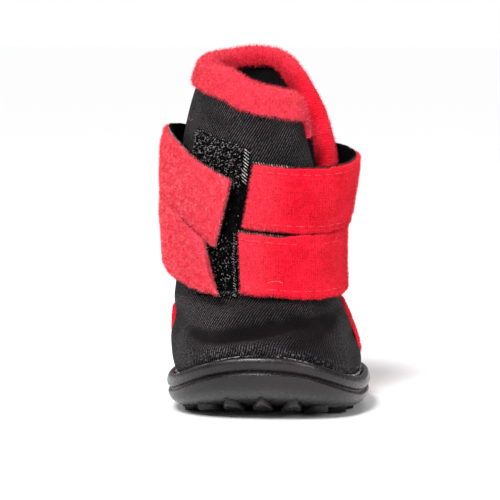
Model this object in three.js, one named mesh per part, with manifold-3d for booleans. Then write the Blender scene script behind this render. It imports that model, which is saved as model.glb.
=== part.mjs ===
// A dog's bootie: a soft ankle boot for one paw, standing empty on its sole.
// A moulded rubber cup sole with a petal tread holds a black cloth upper. The upper's shaft is slit down
// one side, its edge is bound in thick pile cloth, and two wide straps go round it and close on a hook patch.
// Millimetres, +Z up. The toe points along -Y and the slit is on the +X side. The origin is the middle of
// the tread, on the floor. Round the boot, angles start at the toe and grow towards +X.
import * as THREE from "three";
import { mergeVertices } from "three/addons/utils/BufferGeometryUtils.js";
import Module from "manifold-3d";

const wasm = await Module();
wasm.setup();

// Driving dimensions.
const SOLE_LENGTH = 72;
const BALL_WIDTH = 54;
const COLLAR_HEIGHT = 96;
const TOE_SPRING = 8;
const HEEL_SPRING = 2.5;
const WALL = 2.4;
const GAP = 0.3;
const LUG_HEIGHT = 1.4;
const SOLE_FLOOR = 2.5;
const BINDING_CLOTH = 1.1;
const STRAP_WIDTH = 17.4;
const STRAP_THICKNESS = 1.8;
const PATCH_THICKNESS = 0.9;
const PATCH_STAND = 0.5;
const HEEL_PANEL_THICKNESS = 1.9;
const INSOLE_THICKNESS = 2.2;

// Fineness of the facets.
const SOLE_STEPS = 48;
const INSOLE_STEPS = 26;
const EDGE_STEPS_A_ROW = 3;
const BINDING_STEPS = 58;
const ROLL_STEPS = 5;
const STRAP_STEPS = 34;
const PANEL_STEPS = 18;
const PATCH_STEPS = 6;
const STRAP_ACROSS = 3;
const PANEL_ACROSS = 4;
const PATCH_ACROSS = 7;

const HALF_LENGTH = SOLE_LENGTH / 2;
const HALF_WIDTH = BALL_WIDTH / 2;
const SOLE_SQUARENESS = 2.3;
const HEEL_TAPER = 0.05;
const TOE_SPRING_START = -12;
const HEEL_SPRING_START = 22;
const DEGREES = Math.PI / 180;

// Sections of the upper's outside, from the feather line in the sole's cup to the collar.
// toe and heel are reaches from the middle, as shares of half the sole's length. width is a share of half
// the ball width. front and back are heights, as shares of the collar's height. lean is a shift along X in
// millimetres, square is the section's squareness, and sole says how far it follows the sole's toe spring
// and heel taper.
const upperSections = tableOf(
  ["toe", "heel", "width", "front", "back", "lean", "square", "sole"],
  [0.92, 0.92, 0.89, 0.046, 0.046, 0, 2.3, 1], // feather line
  [0.92, 0.92, 0.89, 0.098, 0.098, 0, 2.3, 1], // the lip's bite
  [0.945, 0.94, 0.925, 0.125, 0.125, -0.3, 2.3, 0.95], // roll over the lip
  [0.925, 0.945, 0.925, 0.165, 0.172, -1.2, 2.25, 0.7], // ball
  [0.79, 0.93, 0.885, 0.222, 0.235, -2.5, 2.2, 0.35], // vamp
  [0.59, 0.89, 0.84, 0.265, 0.3, -3.6, 2.15, 0.1], // instep
  [0.43, 0.84, 0.81, 0.32, 0.375, -4.4, 2.1, 0], // ankle
  [0.365, 0.8, 0.785, 0.41, 0.465, -4.5, 2.1, 0], // under the lower strap
  [0.405, 0.73, 0.755, 0.655, 0.729, -4.3, 2.1, 0], // under the upper strap
  [0.45, 0.685, 0.66, 0.8, 0.885, -4.2, 2.1, 0], // neck
  [0.49, 0.64, 0.5, 0.945, 1.06, -3.3, 2.1, 0], // collar
);

// The upper's top edge, by angle round the shaft in degrees and by height: up the front flap's side of the
// slit, over the front, round the left and the back, and down the long slope of the slit's rear side to its
// foot. turn and drop lead from the edge to the hem of its binding, in degrees and millimetres.
const topEdge = tableOf(
  ["angle", "height", "turn", "drop"],
  [60.2, 46, -6, 1],
  [59.8, 51, -6, 1],
  [59.4, 59, -6, 1],
  [59, 70, -6, 1],
  [58.2, 77.5, -6, 1.6],
  [54.5, 82, -5, 5],
  [43, 83.8, -1.5, 6.2],
  [24, 84.4, 0, 6.2],
  [0, 86.2, -2, 6.2],
  [-25, 89.4, -4.5, 6],
  [-58, 91.6, -4, 5.8],
  [-92, 93, -3, 5.8],
  [-135, 94.6, -2, 5.6],
  [-175, 95.5, 0, 5.6],
  [-201, 94.2, 5.5, 5.4],
  [-216, 91, 11, 5.2],
  [-232, 86, 15, 4.8],
  [-247, 80, 17.4, 4.6],
  [-261, 73.5, 18.6, 4.4],
  [-274, 66.5, 19.2, 4.2],
  [-285, 59.5, 19.3, 3.7],
  [-292, 53, 19, 3.5],
  [-296.8, 48.5, 18.5, 3.4],
);
// The rows of that table between which the edge is bound.
const BINDING_START_ROW = 3.4;
const BINDING_END_ROW = 21.3;

// Beside the slit the front flap's edge curls inwards, from one angle to the other and as it rises.
const flapCurl = { depth: 2.4, fromAngle: 32, toAngle: 58, endAngle: 64, fromHeight: 55, toHeight: 74 };

// Where the straps run, from their sewn starts beside the hook patch, to the right, round the back and on to
// the patch from the left. middle is the height of the strap's centre line and stand its gap to the shaft
// there. Its top edge stands further out than that by the flare, and its lower edge stands closer by as much.
const upperStrap = tableOf(
  ["angle", "middle", "stand", "flare"],
  [0, 58, 0.9, 0],
  [22, 57, 1, 0.3],
  [45, 56.4, 1.8, 0.7],
  [68, 56.8, 3.6, 1.4],
  [92, 58.2, 4.6, 1.6],
  [120, 60.2, 4.4, 1.4],
  [150, 61.8, 3.8, 0.8],
  [182, 63.2, 3.4, 0.4],
  [215, 64.8, 3.4, 0.2],
  [245, 66, 3.6, 0.2],
  [270, 66, 3.6, 0.2],
  [292, 64.2, 3, 0.2],
  [312, 61, 2.5, 0],
  [328, 57.4, 2.4, 0],
  [346, 53.4, 2.6, 0],
);
const lowerStrap = tableOf(
  ["angle", "middle", "stand", "flare"],
  [-5, 39.2, 0.8, 0],
  [18, 38, 0.8, 0],
  [42, 37.4, 1, 0.2],
  [65, 37.7, 1.4, 0.4],
  [92, 39.2, 1.6, 0.6],
  [120, 41.4, 1.8, 0.5],
  [150, 43.4, 2, 0.4],
  [182, 44.8, 2.1, 0.4],
  [215, 46.2, 2.2, 0.7],
  [245, 47.6, 2.3, 1.2],
  [268, 48, 2.4, 1.6],
  [285, 46.4, 2.8, 1.5],
  [304, 42.9, 3.5, 0.6],
  [318, 40, 3.6, 0],
  [333, 37.4, 3.4, 0],
);
// How far each strap's ends lean, in degrees from the middle to the top edge, and the share of its run over
// which that lean fades out.
const strapEnds = {
  upper: { startLean: 3.2, endLean: 5 },
  lower: { startLean: -1, endLean: -1.5 },
};
const LEAN_FADE = 0.12;

// The tall patch of hooks on the front left: the angle and height of its two sides, from its sloping top
// edge down.
const hookPatch = tableOf(
  ["left", "leftHeight", "right", "rightHeight"],
  [-47, 75, 1, 70.6],
  [-46, 60, -2.4, 57],
  [-43, 45, -7.4, 45],
  [-38, 30.5, -6.6, 30.5],
);

// The red panel round the heel, from its left edge to its right: where it starts and ends in height.
const heelPanel = tableOf(
  ["angle", "bottom", "top"],
  [-99, 13, 25.5],
  [-118, 13.2, 29],
  [-150, 14, 32],
  [-180, 14.6, 33],
  [-210, 14, 31.5],
  [-240, 13.2, 28],
  [-258, 13, 25.5],
);

// Profile of the cup sole, from the middle of its underside, out over the shoulder, up its side past the
// ridge, the groove and the lip, and back down inside to the middle of its floor.
// share scales the outline, inset moves it inwards, and rise is a height above the toe-spring curve.
const soleProfile = [
  { share: 0, rise: LUG_HEIGHT },
  { share: 0.35, rise: LUG_HEIGHT },
  { share: 0.62, rise: LUG_HEIGHT },
  { inset: 5.4, rise: LUG_HEIGHT },
  { inset: 2.8, rise: LUG_HEIGHT + 0.5 },
  { inset: 1.1, rise: LUG_HEIGHT + 1.5 },
  { inset: 0.2, rise: LUG_HEIGHT + 3 },
  { inset: 0.3, rise: LUG_HEIGHT + 3.9 },
  { inset: 1, rise: LUG_HEIGHT + 4.3 },
  { inset: 0.9, rise: LUG_HEIGHT + 4.8 },
  { inset: 0.1, rise: LUG_HEIGHT + 5.3 },
  { inset: -0.2, rise: LUG_HEIGHT + 6.4 },
  { inset: 0.2, rise: LUG_HEIGHT + 7.8 },
  { inset: 0.9, rise: LUG_HEIGHT + 8.4 },
  { inset: 1.7, rise: LUG_HEIGHT + 8.3 },
  { inset: 2.3, rise: LUG_HEIGHT + 7.4 },
  { inset: 2.3, rise: LUG_HEIGHT + SOLE_FLOOR },
  { share: 0.8, rise: LUG_HEIGHT + SOLE_FLOOR },
  { share: 0.62, rise: LUG_HEIGHT + SOLE_FLOOR },
  { share: 0.35, rise: LUG_HEIGHT + SOLE_FLOOR },
  { share: 0, rise: LUG_HEIGHT + SOLE_FLOOR },
];
const INSOLE_INSET = 6;

// Rings of tread petals round the central disc. from and to are shares of the outline's reach, where a petal
// starts and ends. point says whether its tip is outwards (1) or inwards (-1), and turn shifts the ring by a
// share of its spacing.
const petalRings = tableOf(
  ["count", "from", "to", "halfWidth", "point", "turn"],
  [8, 0.16, 0.34, 2.3, -1, 0.5],
  [12, 0.29, 0.52, 2.7, 1, 0],
  [20, 0.56, 0.86, 2.7, 1, 0],
);
// Half a petal's outline: how far along it, and how wide, as shares.
const petalOutline = tableOf(["along", "wide"], [0, 0.5], [0.3, 1], [0.7, 0.7]);
const DISC_RADIUS = 4.5;
const DISC_SIDES = 20;
const LUG_BEVEL = 0.4;
const LUG_ROOT = 0.8;
const LUG_FACE_SHARE = 0.84;

const looks = {
  rubber: { color: 0x1b1a1b, roughness: 0.42, metalness: 0 },
  blackCloth: { color: 0x1d1b1e, roughness: 0.9, metalness: 0 },
  redPile: { color: 0xd8182c, roughness: 0.95, metalness: 0 },
  hookNylon: { color: 0x101010, roughness: 0.55, metalness: 0 },
  foam: { color: 0x2a2a2c, roughness: 0.9, metalness: 0 },
};

// Rows of named columns.
function tableOf(columns, ...rows) {
  return rows.map((row) => Object.fromEntries(columns.map((column, i) => [column, row[i]])));
}

// Smooth reading of a table: place is a row number with a fraction, and the curve passes through each row.
function readColumn(rows, column, place) {
  const last = rows.length - 1;
  const at = Math.min(Math.max(place, 0), last);
  const row = Math.min(Math.floor(at), last - 1);
  const t = at - row;
  const [before, start, end, after] = [-1, 0, 1, 2].map(
    (step) => rows[Math.min(Math.max(row + step, 0), last)][column],
  );
  const slopeStart = (end - before) / 2;
  const slopeEnd = (after - start) / 2;
  return (
    start * (1 - t) ** 2 * (1 + 2 * t) +
    slopeStart * t * (1 - t) ** 2 +
    end * t ** 2 * (3 - 2 * t) +
    slopeEnd * t ** 2 * (t - 1)
  );
}

function readRow(rows, place) {
  return Object.fromEntries(Object.keys(rows[0]).map((column) => [column, readColumn(rows, column, place)]));
}

// Rows read off a table at even steps between two places.
function readEvenly(rows, steps, from = 0, to = rows.length - 1) {
  return Array.from({ length: steps + 1 }, (_, i) => readRow(rows, from + ((to - from) * i) / steps));
}

// From 0 to 1 with soft ends, as value goes from one limit to the other.
function ramp(value, from, to) {
  const t = Math.min(Math.max((value - from) / (to - from), 0), 1);
  return t * t * (3 - 2 * t);
}

// A cosine or sine bent so that an ellipse drawn with it is squarer, the more squareness is above 2.
function squared(value, squareness) {
  return Math.sign(value) * Math.abs(value) ** (2 / squareness);
}

// Height of the toe-spring curve above the floor.
function spring(y) {
  const toe = Math.max(0, (TOE_SPRING_START - y) / (HALF_LENGTH + TOE_SPRING_START));
  const heel = Math.max(0, (y - HEEL_SPRING_START) / (HALF_LENGTH - HEEL_SPRING_START));
  return TOE_SPRING * toe ** 2 + HEEL_SPRING * heel ** 2;
}

function taper(y) {
  return (HEEL_TAPER * y) / HALF_LENGTH;
}

// The sole's outline, seen from above.
function soleOutline(angle) {
  const x = HALF_WIDTH * squared(Math.sin(angle), SOLE_SQUARENESS);
  const y = -HALF_LENGTH * squared(Math.cos(angle), SOLE_SQUARENESS);
  return new THREE.Vector2(x * (1 - taper(y)), y);
}

function soleInset(angle, inset) {
  const step = 0.01;
  const along = soleOutline(angle + step).sub(soleOutline(angle - step)).normalize();
  return soleOutline(angle).add(new THREE.Vector2(-along.y, along.x).multiplyScalar(inset));
}

// How far the outline reaches from the middle in a direction.
function soleReach(direction) {
  let low = direction - 0.5;
  let high = direction + 0.5;
  for (let i = 0; i < 30; i++) {
    const middle = (low + high) / 2;
    const point = soleOutline(middle);
    const passed = point.x * Math.cos(direction) + point.y * Math.sin(direction);
    if (passed < 0) low = middle;
    else high = middle;
  }
  return soleOutline(low).length();
}

// How far the front flap's curl moves a point inwards.
function curlDepth(angle, height) {
  const degrees = THREE.MathUtils.euclideanModulo(angle / DEGREES + 180, 360) - 180;
  if (degrees > flapCurl.endAngle) return 0;
  const round = Math.max(0, (degrees - flapCurl.fromAngle) / (flapCurl.toAngle - flapCurl.fromAngle));
  return flapCurl.depth * round ** 2 * ramp(height, flapCurl.fromHeight, flapCurl.toHeight);
}

// A point on the upper's outside, by angle in radians and by row of the section table. The cloth laid over
// the slit is drawn on the outside as it would be without the curl.
function upperPoint(angle, row, curled = true) {
  const s = readRow(upperSections, row);
  const toeY = -s.toe * HALF_LENGTH;
  const heelY = s.heel * HALF_LENGTH;
  const y = (toeY + heelY) / 2 - ((heelY - toeY) / 2) * squared(Math.cos(angle), s.square);
  const x = s.width * HALF_WIDTH * squared(Math.sin(angle), s.square) * (1 - s.sole * taper(y));
  const share = (y - toeY) / (heelY - toeY);
  const z = COLLAR_HEIGHT * (s.front + (s.back - s.front) * share) + s.sole * spring(y);
  const curl = curled ? curlDepth(angle, z) : 0;
  return new THREE.Vector3(x + s.lean - curl * Math.sin(angle), y + curl * Math.cos(angle), z);
}

function rowAtHeight(angle, height, curled) {
  let low = 0;
  let high = upperSections.length - 1;
  for (let i = 0; i < 24; i++) {
    const middle = (low + high) / 2;
    if (upperPoint(angle, middle, curled).z < height) low = middle;
    else high = middle;
  }
  return low;
}

// The upper's outside at an angle and a row, moved outwards along its normal.
function upperAtRow(angle, row, outwards, curled) {
  const turn = 0.02;
  const climb = 0.05;
  const above = Math.min(row + climb, upperSections.length - 1);
  const below = Math.max(row - climb, 0);
  const round = upperPoint(angle + turn, row, curled).sub(upperPoint(angle - turn, row, curled));
  const up = upperPoint(angle, above, curled).sub(upperPoint(angle, below, curled));
  return upperPoint(angle, row, curled).addScaledVector(round.cross(up).normalize(), outwards);
}

// The same by angle in degrees and by height.
function upperAt(degrees, height, outwards, curled) {
  const angle = degrees * DEGREES;
  return upperAtRow(angle, rowAtHeight(angle, height, curled), outwards, curled);
}

// A geometry from triangle corners, turned inside out if its faces point inwards.
function facingOut(corners) {
  const around = new THREE.Vector3();
  let volume = 0;
  for (let i = 0; i < corners.length; i += 3) {
    volume += corners[i].dot(around.crossVectors(corners[i + 1], corners[i + 2]));
  }
  const ordered = volume > 0 ? corners : corners.slice().reverse();
  return mergeVertices(new THREE.BufferGeometry().setFromPoints(ordered), 1e-4);
}

// A closed solid from loops of points, each joined to the next. A path that closes on itself needs no caps,
// and otherwise section is the loop's shape drawn flat. Where points of neighbouring loops meet in a pole,
// the triangles without width are left out.
function loftLoops(loops, section) {
  const corners = [];
  const meet = (a, b) => a.distanceToSquared(b) < 1e-8;
  const addFace = (a, b, c) => {
    if (!meet(a, b) && !meet(b, c) && !meet(c, a)) corners.push(a, b, c);
  };
  const spans = section ? loops.length - 1 : loops.length;
  for (let i = 0; i < spans; i++) {
    const here = loops[i];
    const next = loops[(i + 1) % loops.length];
    here.forEach((point, j) => {
      const k = (j + 1) % here.length;
      addFace(point, next[j], next[k]);
      addFace(point, next[k], here[k]);
    });
  }
  if (section) {
    const [first, last] = [loops[0], loops[loops.length - 1]];
    const windsAs = THREE.ShapeUtils.area(section);
    for (const [a, b, c] of THREE.ShapeUtils.triangulateShape(section.slice(), [])) {
      const sameWay = THREE.ShapeUtils.area([section[a], section[b], section[c]]) * windsAs > 0;
      const [p, q] = sameWay ? [a, c] : [c, a];
      addFace(first[p], first[b], first[q]);
      addFace(last[q], last[b], last[p]);
    }
  }
  return facingOut(corners);
}

// A strip of cloth laid on the upper. Each place along it gives the two ends of its width, as angle, height
// and gap to the upper.
function clothStrip(places, across, thickness) {
  const shares = Array.from({ length: across + 1 }, (_, i) => i / across);
  const loops = places.map(([from, to]) => {
    const between = (column, share) => from[column] + (to[column] - from[column]) * share;
    const pointAt = (share, depth) =>
      upperAt(between("angle", share), between("height", share), between("gap", share) + depth, false);
    const outside = shares.map((share) => pointAt(share, thickness));
    const inside = shares.map((share) => pointAt(share, 0)).reverse();
    return [...outside, ...inside];
  });
  const outside = shares.map((share) => new THREE.Vector2(share, 1));
  const inside = shares.map((share) => new THREE.Vector2(share, 0)).reverse();
  return loftLoops(loops, [...outside, ...inside]);
}

function solidOf(geometry) {
  return new wasm.Manifold(
    new wasm.Mesh({
      numProp: 3,
      vertProperties: geometry.attributes.position.array,
      triVerts: new Uint32Array(geometry.index.array),
    }),
  );
}

function geometryOf(solid) {
  const mesh = solid.getMesh();
  return new THREE.BufferGeometry()
    .setAttribute("position", new THREE.BufferAttribute(mesh.vertProperties, 3))
    .setIndex(new THREE.BufferAttribute(mesh.triVerts, 1));
}

// A solid from a profile set round the sole's outline. Its first and last rows lie in the middle.
function roundTheSole(profile, steps) {
  const loops = Array.from({ length: steps }, (_, i) => {
    const angle = (i / steps) * 2 * Math.PI;
    return profile.map(({ share, inset, rise }) => {
      const flat = share === undefined ? soleInset(angle, inset) : soleOutline(angle).multiplyScalar(share);
      return new THREE.Vector3(flat.x, flat.y, rise + spring(flat.y));
    });
  });
  return loftLoops(loops);
}

// One tread lug under the sole, from its outline seen from above.
function lug(outline) {
  const middle = outline.reduce((sum, p) => sum.add(p), new THREE.Vector2()).divideScalar(outline.length);
  const levels = [
    { size: 1, rise: LUG_HEIGHT + LUG_ROOT },
    { size: 1, rise: LUG_BEVEL },
    { size: LUG_FACE_SHARE, rise: 0 },
  ];
  const loops = levels.map(({ size, rise }) =>
    outline.map((p) => {
      const at = p.clone().sub(middle).multiplyScalar(size).add(middle);
      return new THREE.Vector3(at.x, at.y, rise + spring(at.y));
    }),
  );
  return solidOf(loftLoops(loops, outline));
}

function petal(direction, { from, to, halfWidth, point }) {
  const reach = soleReach(direction);
  const start = reach * (point > 0 ? from : to);
  const length = reach * (to - from);
  const axis = new THREE.Vector2(Math.sin(direction), -Math.cos(direction));
  const side = new THREE.Vector2(axis.y, -axis.x);
  const place = (along, wide) =>
    axis.clone().multiplyScalar(start + point * along * length).addScaledVector(side, wide * halfWidth);
  const right = petalOutline.map(({ along, wide }) => place(along, wide));
  const left = petalOutline.map(({ along, wide }) => place(along, -wide)).reverse();
  return [...right, place(1, 0), ...left];
}

function outsole() {
  const disc = Array.from({ length: DISC_SIDES }, (_, i) => {
    const angle = (i / DISC_SIDES) * 2 * Math.PI;
    return new THREE.Vector2(Math.cos(angle), Math.sin(angle)).multiplyScalar(DISC_RADIUS);
  });
  let solid = solidOf(roundTheSole(soleProfile, SOLE_STEPS)).add(lug(disc));
  for (const ring of petalRings) {
    for (let i = 0; i < ring.count; i++) {
      const direction = ((i + ring.turn) / ring.count) * 2 * Math.PI;
      solid = solid.add(lug(petal(direction, ring)));
    }
  }
  return geometryOf(solid);
}

function insole() {
  const bottom = LUG_HEIGHT + SOLE_FLOOR + GAP;
  const top = bottom + INSOLE_THICKNESS;
  const profile = [
    { share: 0, rise: bottom },
    { share: 0.35, rise: bottom },
    { share: 0.62, rise: bottom },
    { inset: INSOLE_INSET, rise: bottom },
    { inset: INSOLE_INSET, rise: top },
    { share: 0.62, rise: top },
    { share: 0.35, rise: top },
    { share: 0, rise: top },
  ];
  return roundTheSole(profile, INSOLE_STEPS);
}

// The upper: one wall of even thickness, open at the collar, down the slit and underneath. Its rows below
// the slit's foot go all round, and the rows above share out what height each angle has.
function upper() {
  const lowerRows = [0, 1, 1.6, 2.2, 3, 3.6, 4.3, 5, 5.5, 6];
  const risingShares = [0.22, 0.48, 0.7, 0.86, 1];
  const footRow = lowerRows[lowerRows.length - 1];
  const places = readEvenly(topEdge, (topEdge.length - 1) * EDGE_STEPS_A_ROW);
  const loops = places.map(({ angle, height }) => {
    const turned = angle * DEGREES;
    const rimRow = rowAtHeight(turned, height);
    const rows = [...lowerRows, ...risingShares.map((share) => footRow + (rimRow - footRow) * share)];
    const outside = rows.map((row) => upperAtRow(turned, row, 0));
    const inside = rows.map((row) => upperAtRow(turned, row, -WALL)).reverse();
    return [...outside, ...inside];
  });
  return loftLoops(loops);
}

// The binding: a channel of pile cloth over the upper's top edge, with a round roll along it. depth is
// measured from the edge towards the hem, and out from the upper's outside.
function collarBinding() {
  const face = GAP + BINDING_CLOTH;
  const back = -WALL - face;
  const rollRadius = (face - back) / 2;
  const rollMiddle = rollRadius - face;
  const softening = 0.6;
  const sectionFor = (reach) => {
    const corner = Math.max(reach - softening, reach / 2);
    const roll = Array.from({ length: ROLL_STEPS + 1 }, (_, i) => {
      const angle = (i / ROLL_STEPS) * Math.PI;
      return {
        depth: Math.min(rollMiddle, reach / 3) - rollRadius * Math.sin(angle),
        out: -WALL / 2 + rollRadius * Math.cos(angle),
      };
    });
    return [
      { depth: reach, out: GAP },
      { depth: reach, out: face - softening },
      { depth: corner, out: face },
      { depth: (corner + rollMiddle) / 2, out: face },
      ...roll,
      { depth: (corner + rollMiddle) / 2, out: back },
      { depth: corner, out: back },
      { depth: reach, out: back + softening },
      { depth: reach, out: -WALL - GAP },
      { depth: reach / 2, out: -WALL - GAP },
      { depth: -GAP, out: -WALL - GAP },
      { depth: -GAP, out: GAP },
      { depth: reach / 2, out: GAP },
    ];
  };
  const places = readEvenly(topEdge, BINDING_STEPS, BINDING_START_ROW, BINDING_END_ROW);
  const loops = places.map(({ angle, height, turn, drop }) => {
    const hem = upperAt(angle + turn, height - drop, 0);
    const reach = hem.distanceTo(upperAt(angle, height, 0));
    return sectionFor(reach).map(({ depth, out }) =>
      upperAt(angle + (turn * depth) / reach, height - (drop * depth) / reach, out),
    );
  });
  const widest = BINDING_CLOTH * 5;
  return loftLoops(loops, sectionFor(widest).map(({ depth, out }) => new THREE.Vector2(depth, out)));
}

function strap(run, { startLean, endLean }) {
  const half = STRAP_WIDTH / 2;
  const places = readEvenly(run, STRAP_STEPS).map(({ angle, middle, stand, flare }, i) => {
    const along = i / STRAP_STEPS;
    const lean = startLean * ramp(along, LEAN_FADE, 0) + endLean * ramp(along, 1 - LEAN_FADE, 1);
    return [
      { angle: angle - lean, height: middle - half, gap: stand - flare },
      { angle: angle + lean, height: middle + half, gap: stand + flare },
    ];
  });
  return clothStrip(places, STRAP_ACROSS, STRAP_THICKNESS);
}

function patch() {
  const places = readEvenly(hookPatch, PATCH_STEPS).map(({ left, leftHeight, right, rightHeight }) => [
    { angle: left, height: leftHeight, gap: PATCH_STAND },
    { angle: right, height: rightHeight, gap: PATCH_STAND },
  ]);
  return clothStrip(places, PATCH_ACROSS, PATCH_THICKNESS);
}

function backPanel() {
  const places = readEvenly(heelPanel, PANEL_STEPS).map(({ angle, bottom, top }) => [
    { angle, height: bottom, gap: GAP },
    { angle, height: top, gap: GAP },
  ]);
  return clothStrip(places, PANEL_ACROSS, HEEL_PANEL_THICKNESS);
}

const boot = new THREE.Group();
function addPiece(name, geometry, look) {
  const piece = new THREE.Mesh(geometry, new THREE.MeshStandardMaterial(look));
  piece.name = name;
  boot.add(piece);
}

addPiece("outsole", outsole(), looks.rubber);
addPiece("insole", insole(), looks.foam);
addPiece("upper", upper(), looks.blackCloth);
addPiece("collar_binding", collarBinding(), looks.redPile);
addPiece("heel_panel", backPanel(), looks.redPile);
addPiece("strap_upper", strap(upperStrap, strapEnds.upper), looks.redPile);
addPiece("strap_lower", strap(lowerStrap, strapEnds.lower), looks.redPile);
addPiece("hook_patch", patch(), looks.hookNylon);

export default boot;
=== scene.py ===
# A dog's bootie: a black cloth upper on a moulded rubber cup sole, bound and strapped in red pile cloth.
# Sizes are in millimetres up to the point where a mesh is made, which is in metres. The toe points along
# -Y and the slit is on the +X side. Round the boot, angles are in degrees from the toe towards +X.
import math

import bmesh
import bpy
import numpy as np
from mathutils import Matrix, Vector


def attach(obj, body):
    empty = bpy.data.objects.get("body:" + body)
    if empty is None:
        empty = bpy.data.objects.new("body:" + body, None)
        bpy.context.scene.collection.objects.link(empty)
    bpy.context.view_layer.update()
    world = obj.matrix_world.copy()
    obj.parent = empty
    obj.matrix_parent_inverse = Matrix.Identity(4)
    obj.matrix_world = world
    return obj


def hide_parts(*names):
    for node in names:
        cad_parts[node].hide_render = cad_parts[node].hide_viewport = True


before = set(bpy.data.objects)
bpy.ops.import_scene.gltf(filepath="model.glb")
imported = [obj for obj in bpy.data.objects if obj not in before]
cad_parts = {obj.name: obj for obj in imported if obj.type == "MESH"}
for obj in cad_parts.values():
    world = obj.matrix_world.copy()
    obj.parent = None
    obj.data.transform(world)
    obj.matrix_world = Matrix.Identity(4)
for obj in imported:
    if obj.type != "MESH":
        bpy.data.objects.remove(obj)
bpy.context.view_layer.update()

MM = 0.001
BODY = "root"

# Driving sizes of the boot, as its solids have them.
SOLE_LENGTH = 72
BALL_WIDTH = 54
COLLAR_HEIGHT = 96
TOE_SPRING = 8
HEEL_SPRING = 2.5
WALL = 2.4
GAP = 0.3
LUG_HEIGHT = 1.4
SOLE_FLOOR = 2.5
BINDING_CLOTH = 1.1
STRAP_WIDTH = 17.4
STRAP_THICKNESS = 1.8
HALF_LENGTH = SOLE_LENGTH / 2
HALF_WIDTH = BALL_WIDTH / 2
SOLE_SQUARENESS = 2.3
HEEL_TAPER = 0.05
TOE_SPRING_START = -12
HEEL_SPRING_START = 22

# The pile's columns and courses, and how long the binding's inner leg is as a share of its outer one.
BINDING_RIB = 0.8
BINDING_COURSE = 0.7
STRAP_COLUMN = 0.62
STRAP_COURSE = 0.8
INNER_LEG = 0.64

# Rises above the underside of the rubber: the lip, the bead of cement in it, and where the crumbs of cement
# on the cloth start. The last one is how far above the lip the cement's broken line lies.
LIP_RISE = 8.4
BEAD_RISE = 8.45
CRUMB_RISE = 8.3
CEMENT_LINE_RISE = 0.85


# Tables and smooth reading

def table(columns, *rows):
    """Named columns of numbers, from rows."""
    return {name: np.array(values, float) for name, values in zip(columns.split(), zip(*rows))}


def row_count(rows):
    return len(next(iter(rows.values())))


def read(rows, column, place):
    """A column read smoothly at row numbers with fractions. The curve passes through each row."""
    values = rows[column]
    last = len(values) - 1
    at = np.clip(place, 0, last)
    row = np.minimum(np.floor(at).astype(int), last - 1)
    t = at - row
    before, start, end, after = (values[np.clip(row + step, 0, last)] for step in (-1, 0, 1, 2))
    slope_start = (end - before) / 2
    slope_end = (after - start) / 2
    return (
        start * (1 - t) ** 2 * (1 + 2 * t)
        + slope_start * t * (1 - t) ** 2
        + end * t ** 2 * (3 - 2 * t)
        + slope_end * t ** 2 * (t - 1)
    )


def ramp(value, start, end):
    """From 0 to 1 with soft ends, as value goes from start to end."""
    t = np.clip((value - start) / (end - start), 0, 1)
    return t * t * (3 - 2 * t)


def hump(value, middle, reach):
    """A soft bump, 1 in the middle and near 0 a little past its reach."""
    return np.exp(-(((value - middle) / reach) ** 2))


# Sections of the upper's outside, from the feather line in the cup to the collar. toe and heel are shares
# of half the sole's length, width of half the ball width, front and back of the collar's height.
UPPER_SECTIONS = table(
    "toe heel width front back lean square sole",
    (0.92, 0.92, 0.89, 0.046, 0.046, 0, 2.3, 1),
    (0.92, 0.92, 0.89, 0.098, 0.098, 0, 2.3, 1),
    (0.945, 0.94, 0.925, 0.125, 0.125, -0.3, 2.3, 0.95),
    (0.925, 0.945, 0.925, 0.165, 0.172, -1.2, 2.25, 0.7),
    (0.79, 0.93, 0.885, 0.222, 0.235, -2.5, 2.2, 0.35),
    (0.59, 0.89, 0.84, 0.265, 0.3, -3.6, 2.15, 0.1),
    (0.43, 0.84, 0.81, 0.32, 0.375, -4.4, 2.1, 0),
    (0.365, 0.8, 0.785, 0.41, 0.465, -4.5, 2.1, 0),
    (0.405, 0.73, 0.755, 0.655, 0.729, -4.3, 2.1, 0),
    (0.45, 0.685, 0.66, 0.8, 0.885, -4.2, 2.1, 0),
    (0.49, 0.64, 0.5, 0.945, 1.06, -3.3, 2.1, 0),
)
TOP_ROW = row_count(UPPER_SECTIONS) - 1

# The upper's top edge, from the slit's foot up the front flap, over the front, round the left and the
# back, and down the slit's rear side. turn and drop lead from the edge to the hem of its binding.
TOP_EDGE = table(
    "angle height turn drop",
    (60.2, 46, -6, 1),
    (59.8, 51, -6, 1),
    (59.4, 59, -6, 1),
    (59, 70, -6, 1),
    (58.2, 77.5, -6, 1.6),
    (54.5, 82, -5, 5),
    (43, 83.8, -1.5, 6.2),
    (24, 84.4, 0, 6.2),
    (0, 86.2, -2, 6.2),
    (-25, 89.4, -4.5, 6),
    (-58, 91.6, -4, 5.8),
    (-92, 93, -3, 5.8),
    (-135, 94.6, -2, 5.6),
    (-175, 95.5, 0, 5.6),
    (-201, 94.2, 5.5, 5.4),
    (-216, 91, 11, 5.2),
    (-232, 86, 15, 4.8),
    (-247, 80, 17.4, 4.6),
    (-261, 73.5, 18.6, 4.4),
    (-274, 66.5, 19.2, 4.2),
    (-285, 59.5, 19.3, 3.7),
    (-292, 53, 19, 3.5),
    (-296.8, 48.5, 18.5, 3.4),
)
BINDING_START_ROW = 3.4
BINDING_END_ROW = 21.3

FLAP_CURL = {
    "depth": 2.4, "from_angle": 32, "to_angle": 58, "end_angle": 64, "from_height": 55, "to_height": 74,
}

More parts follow.
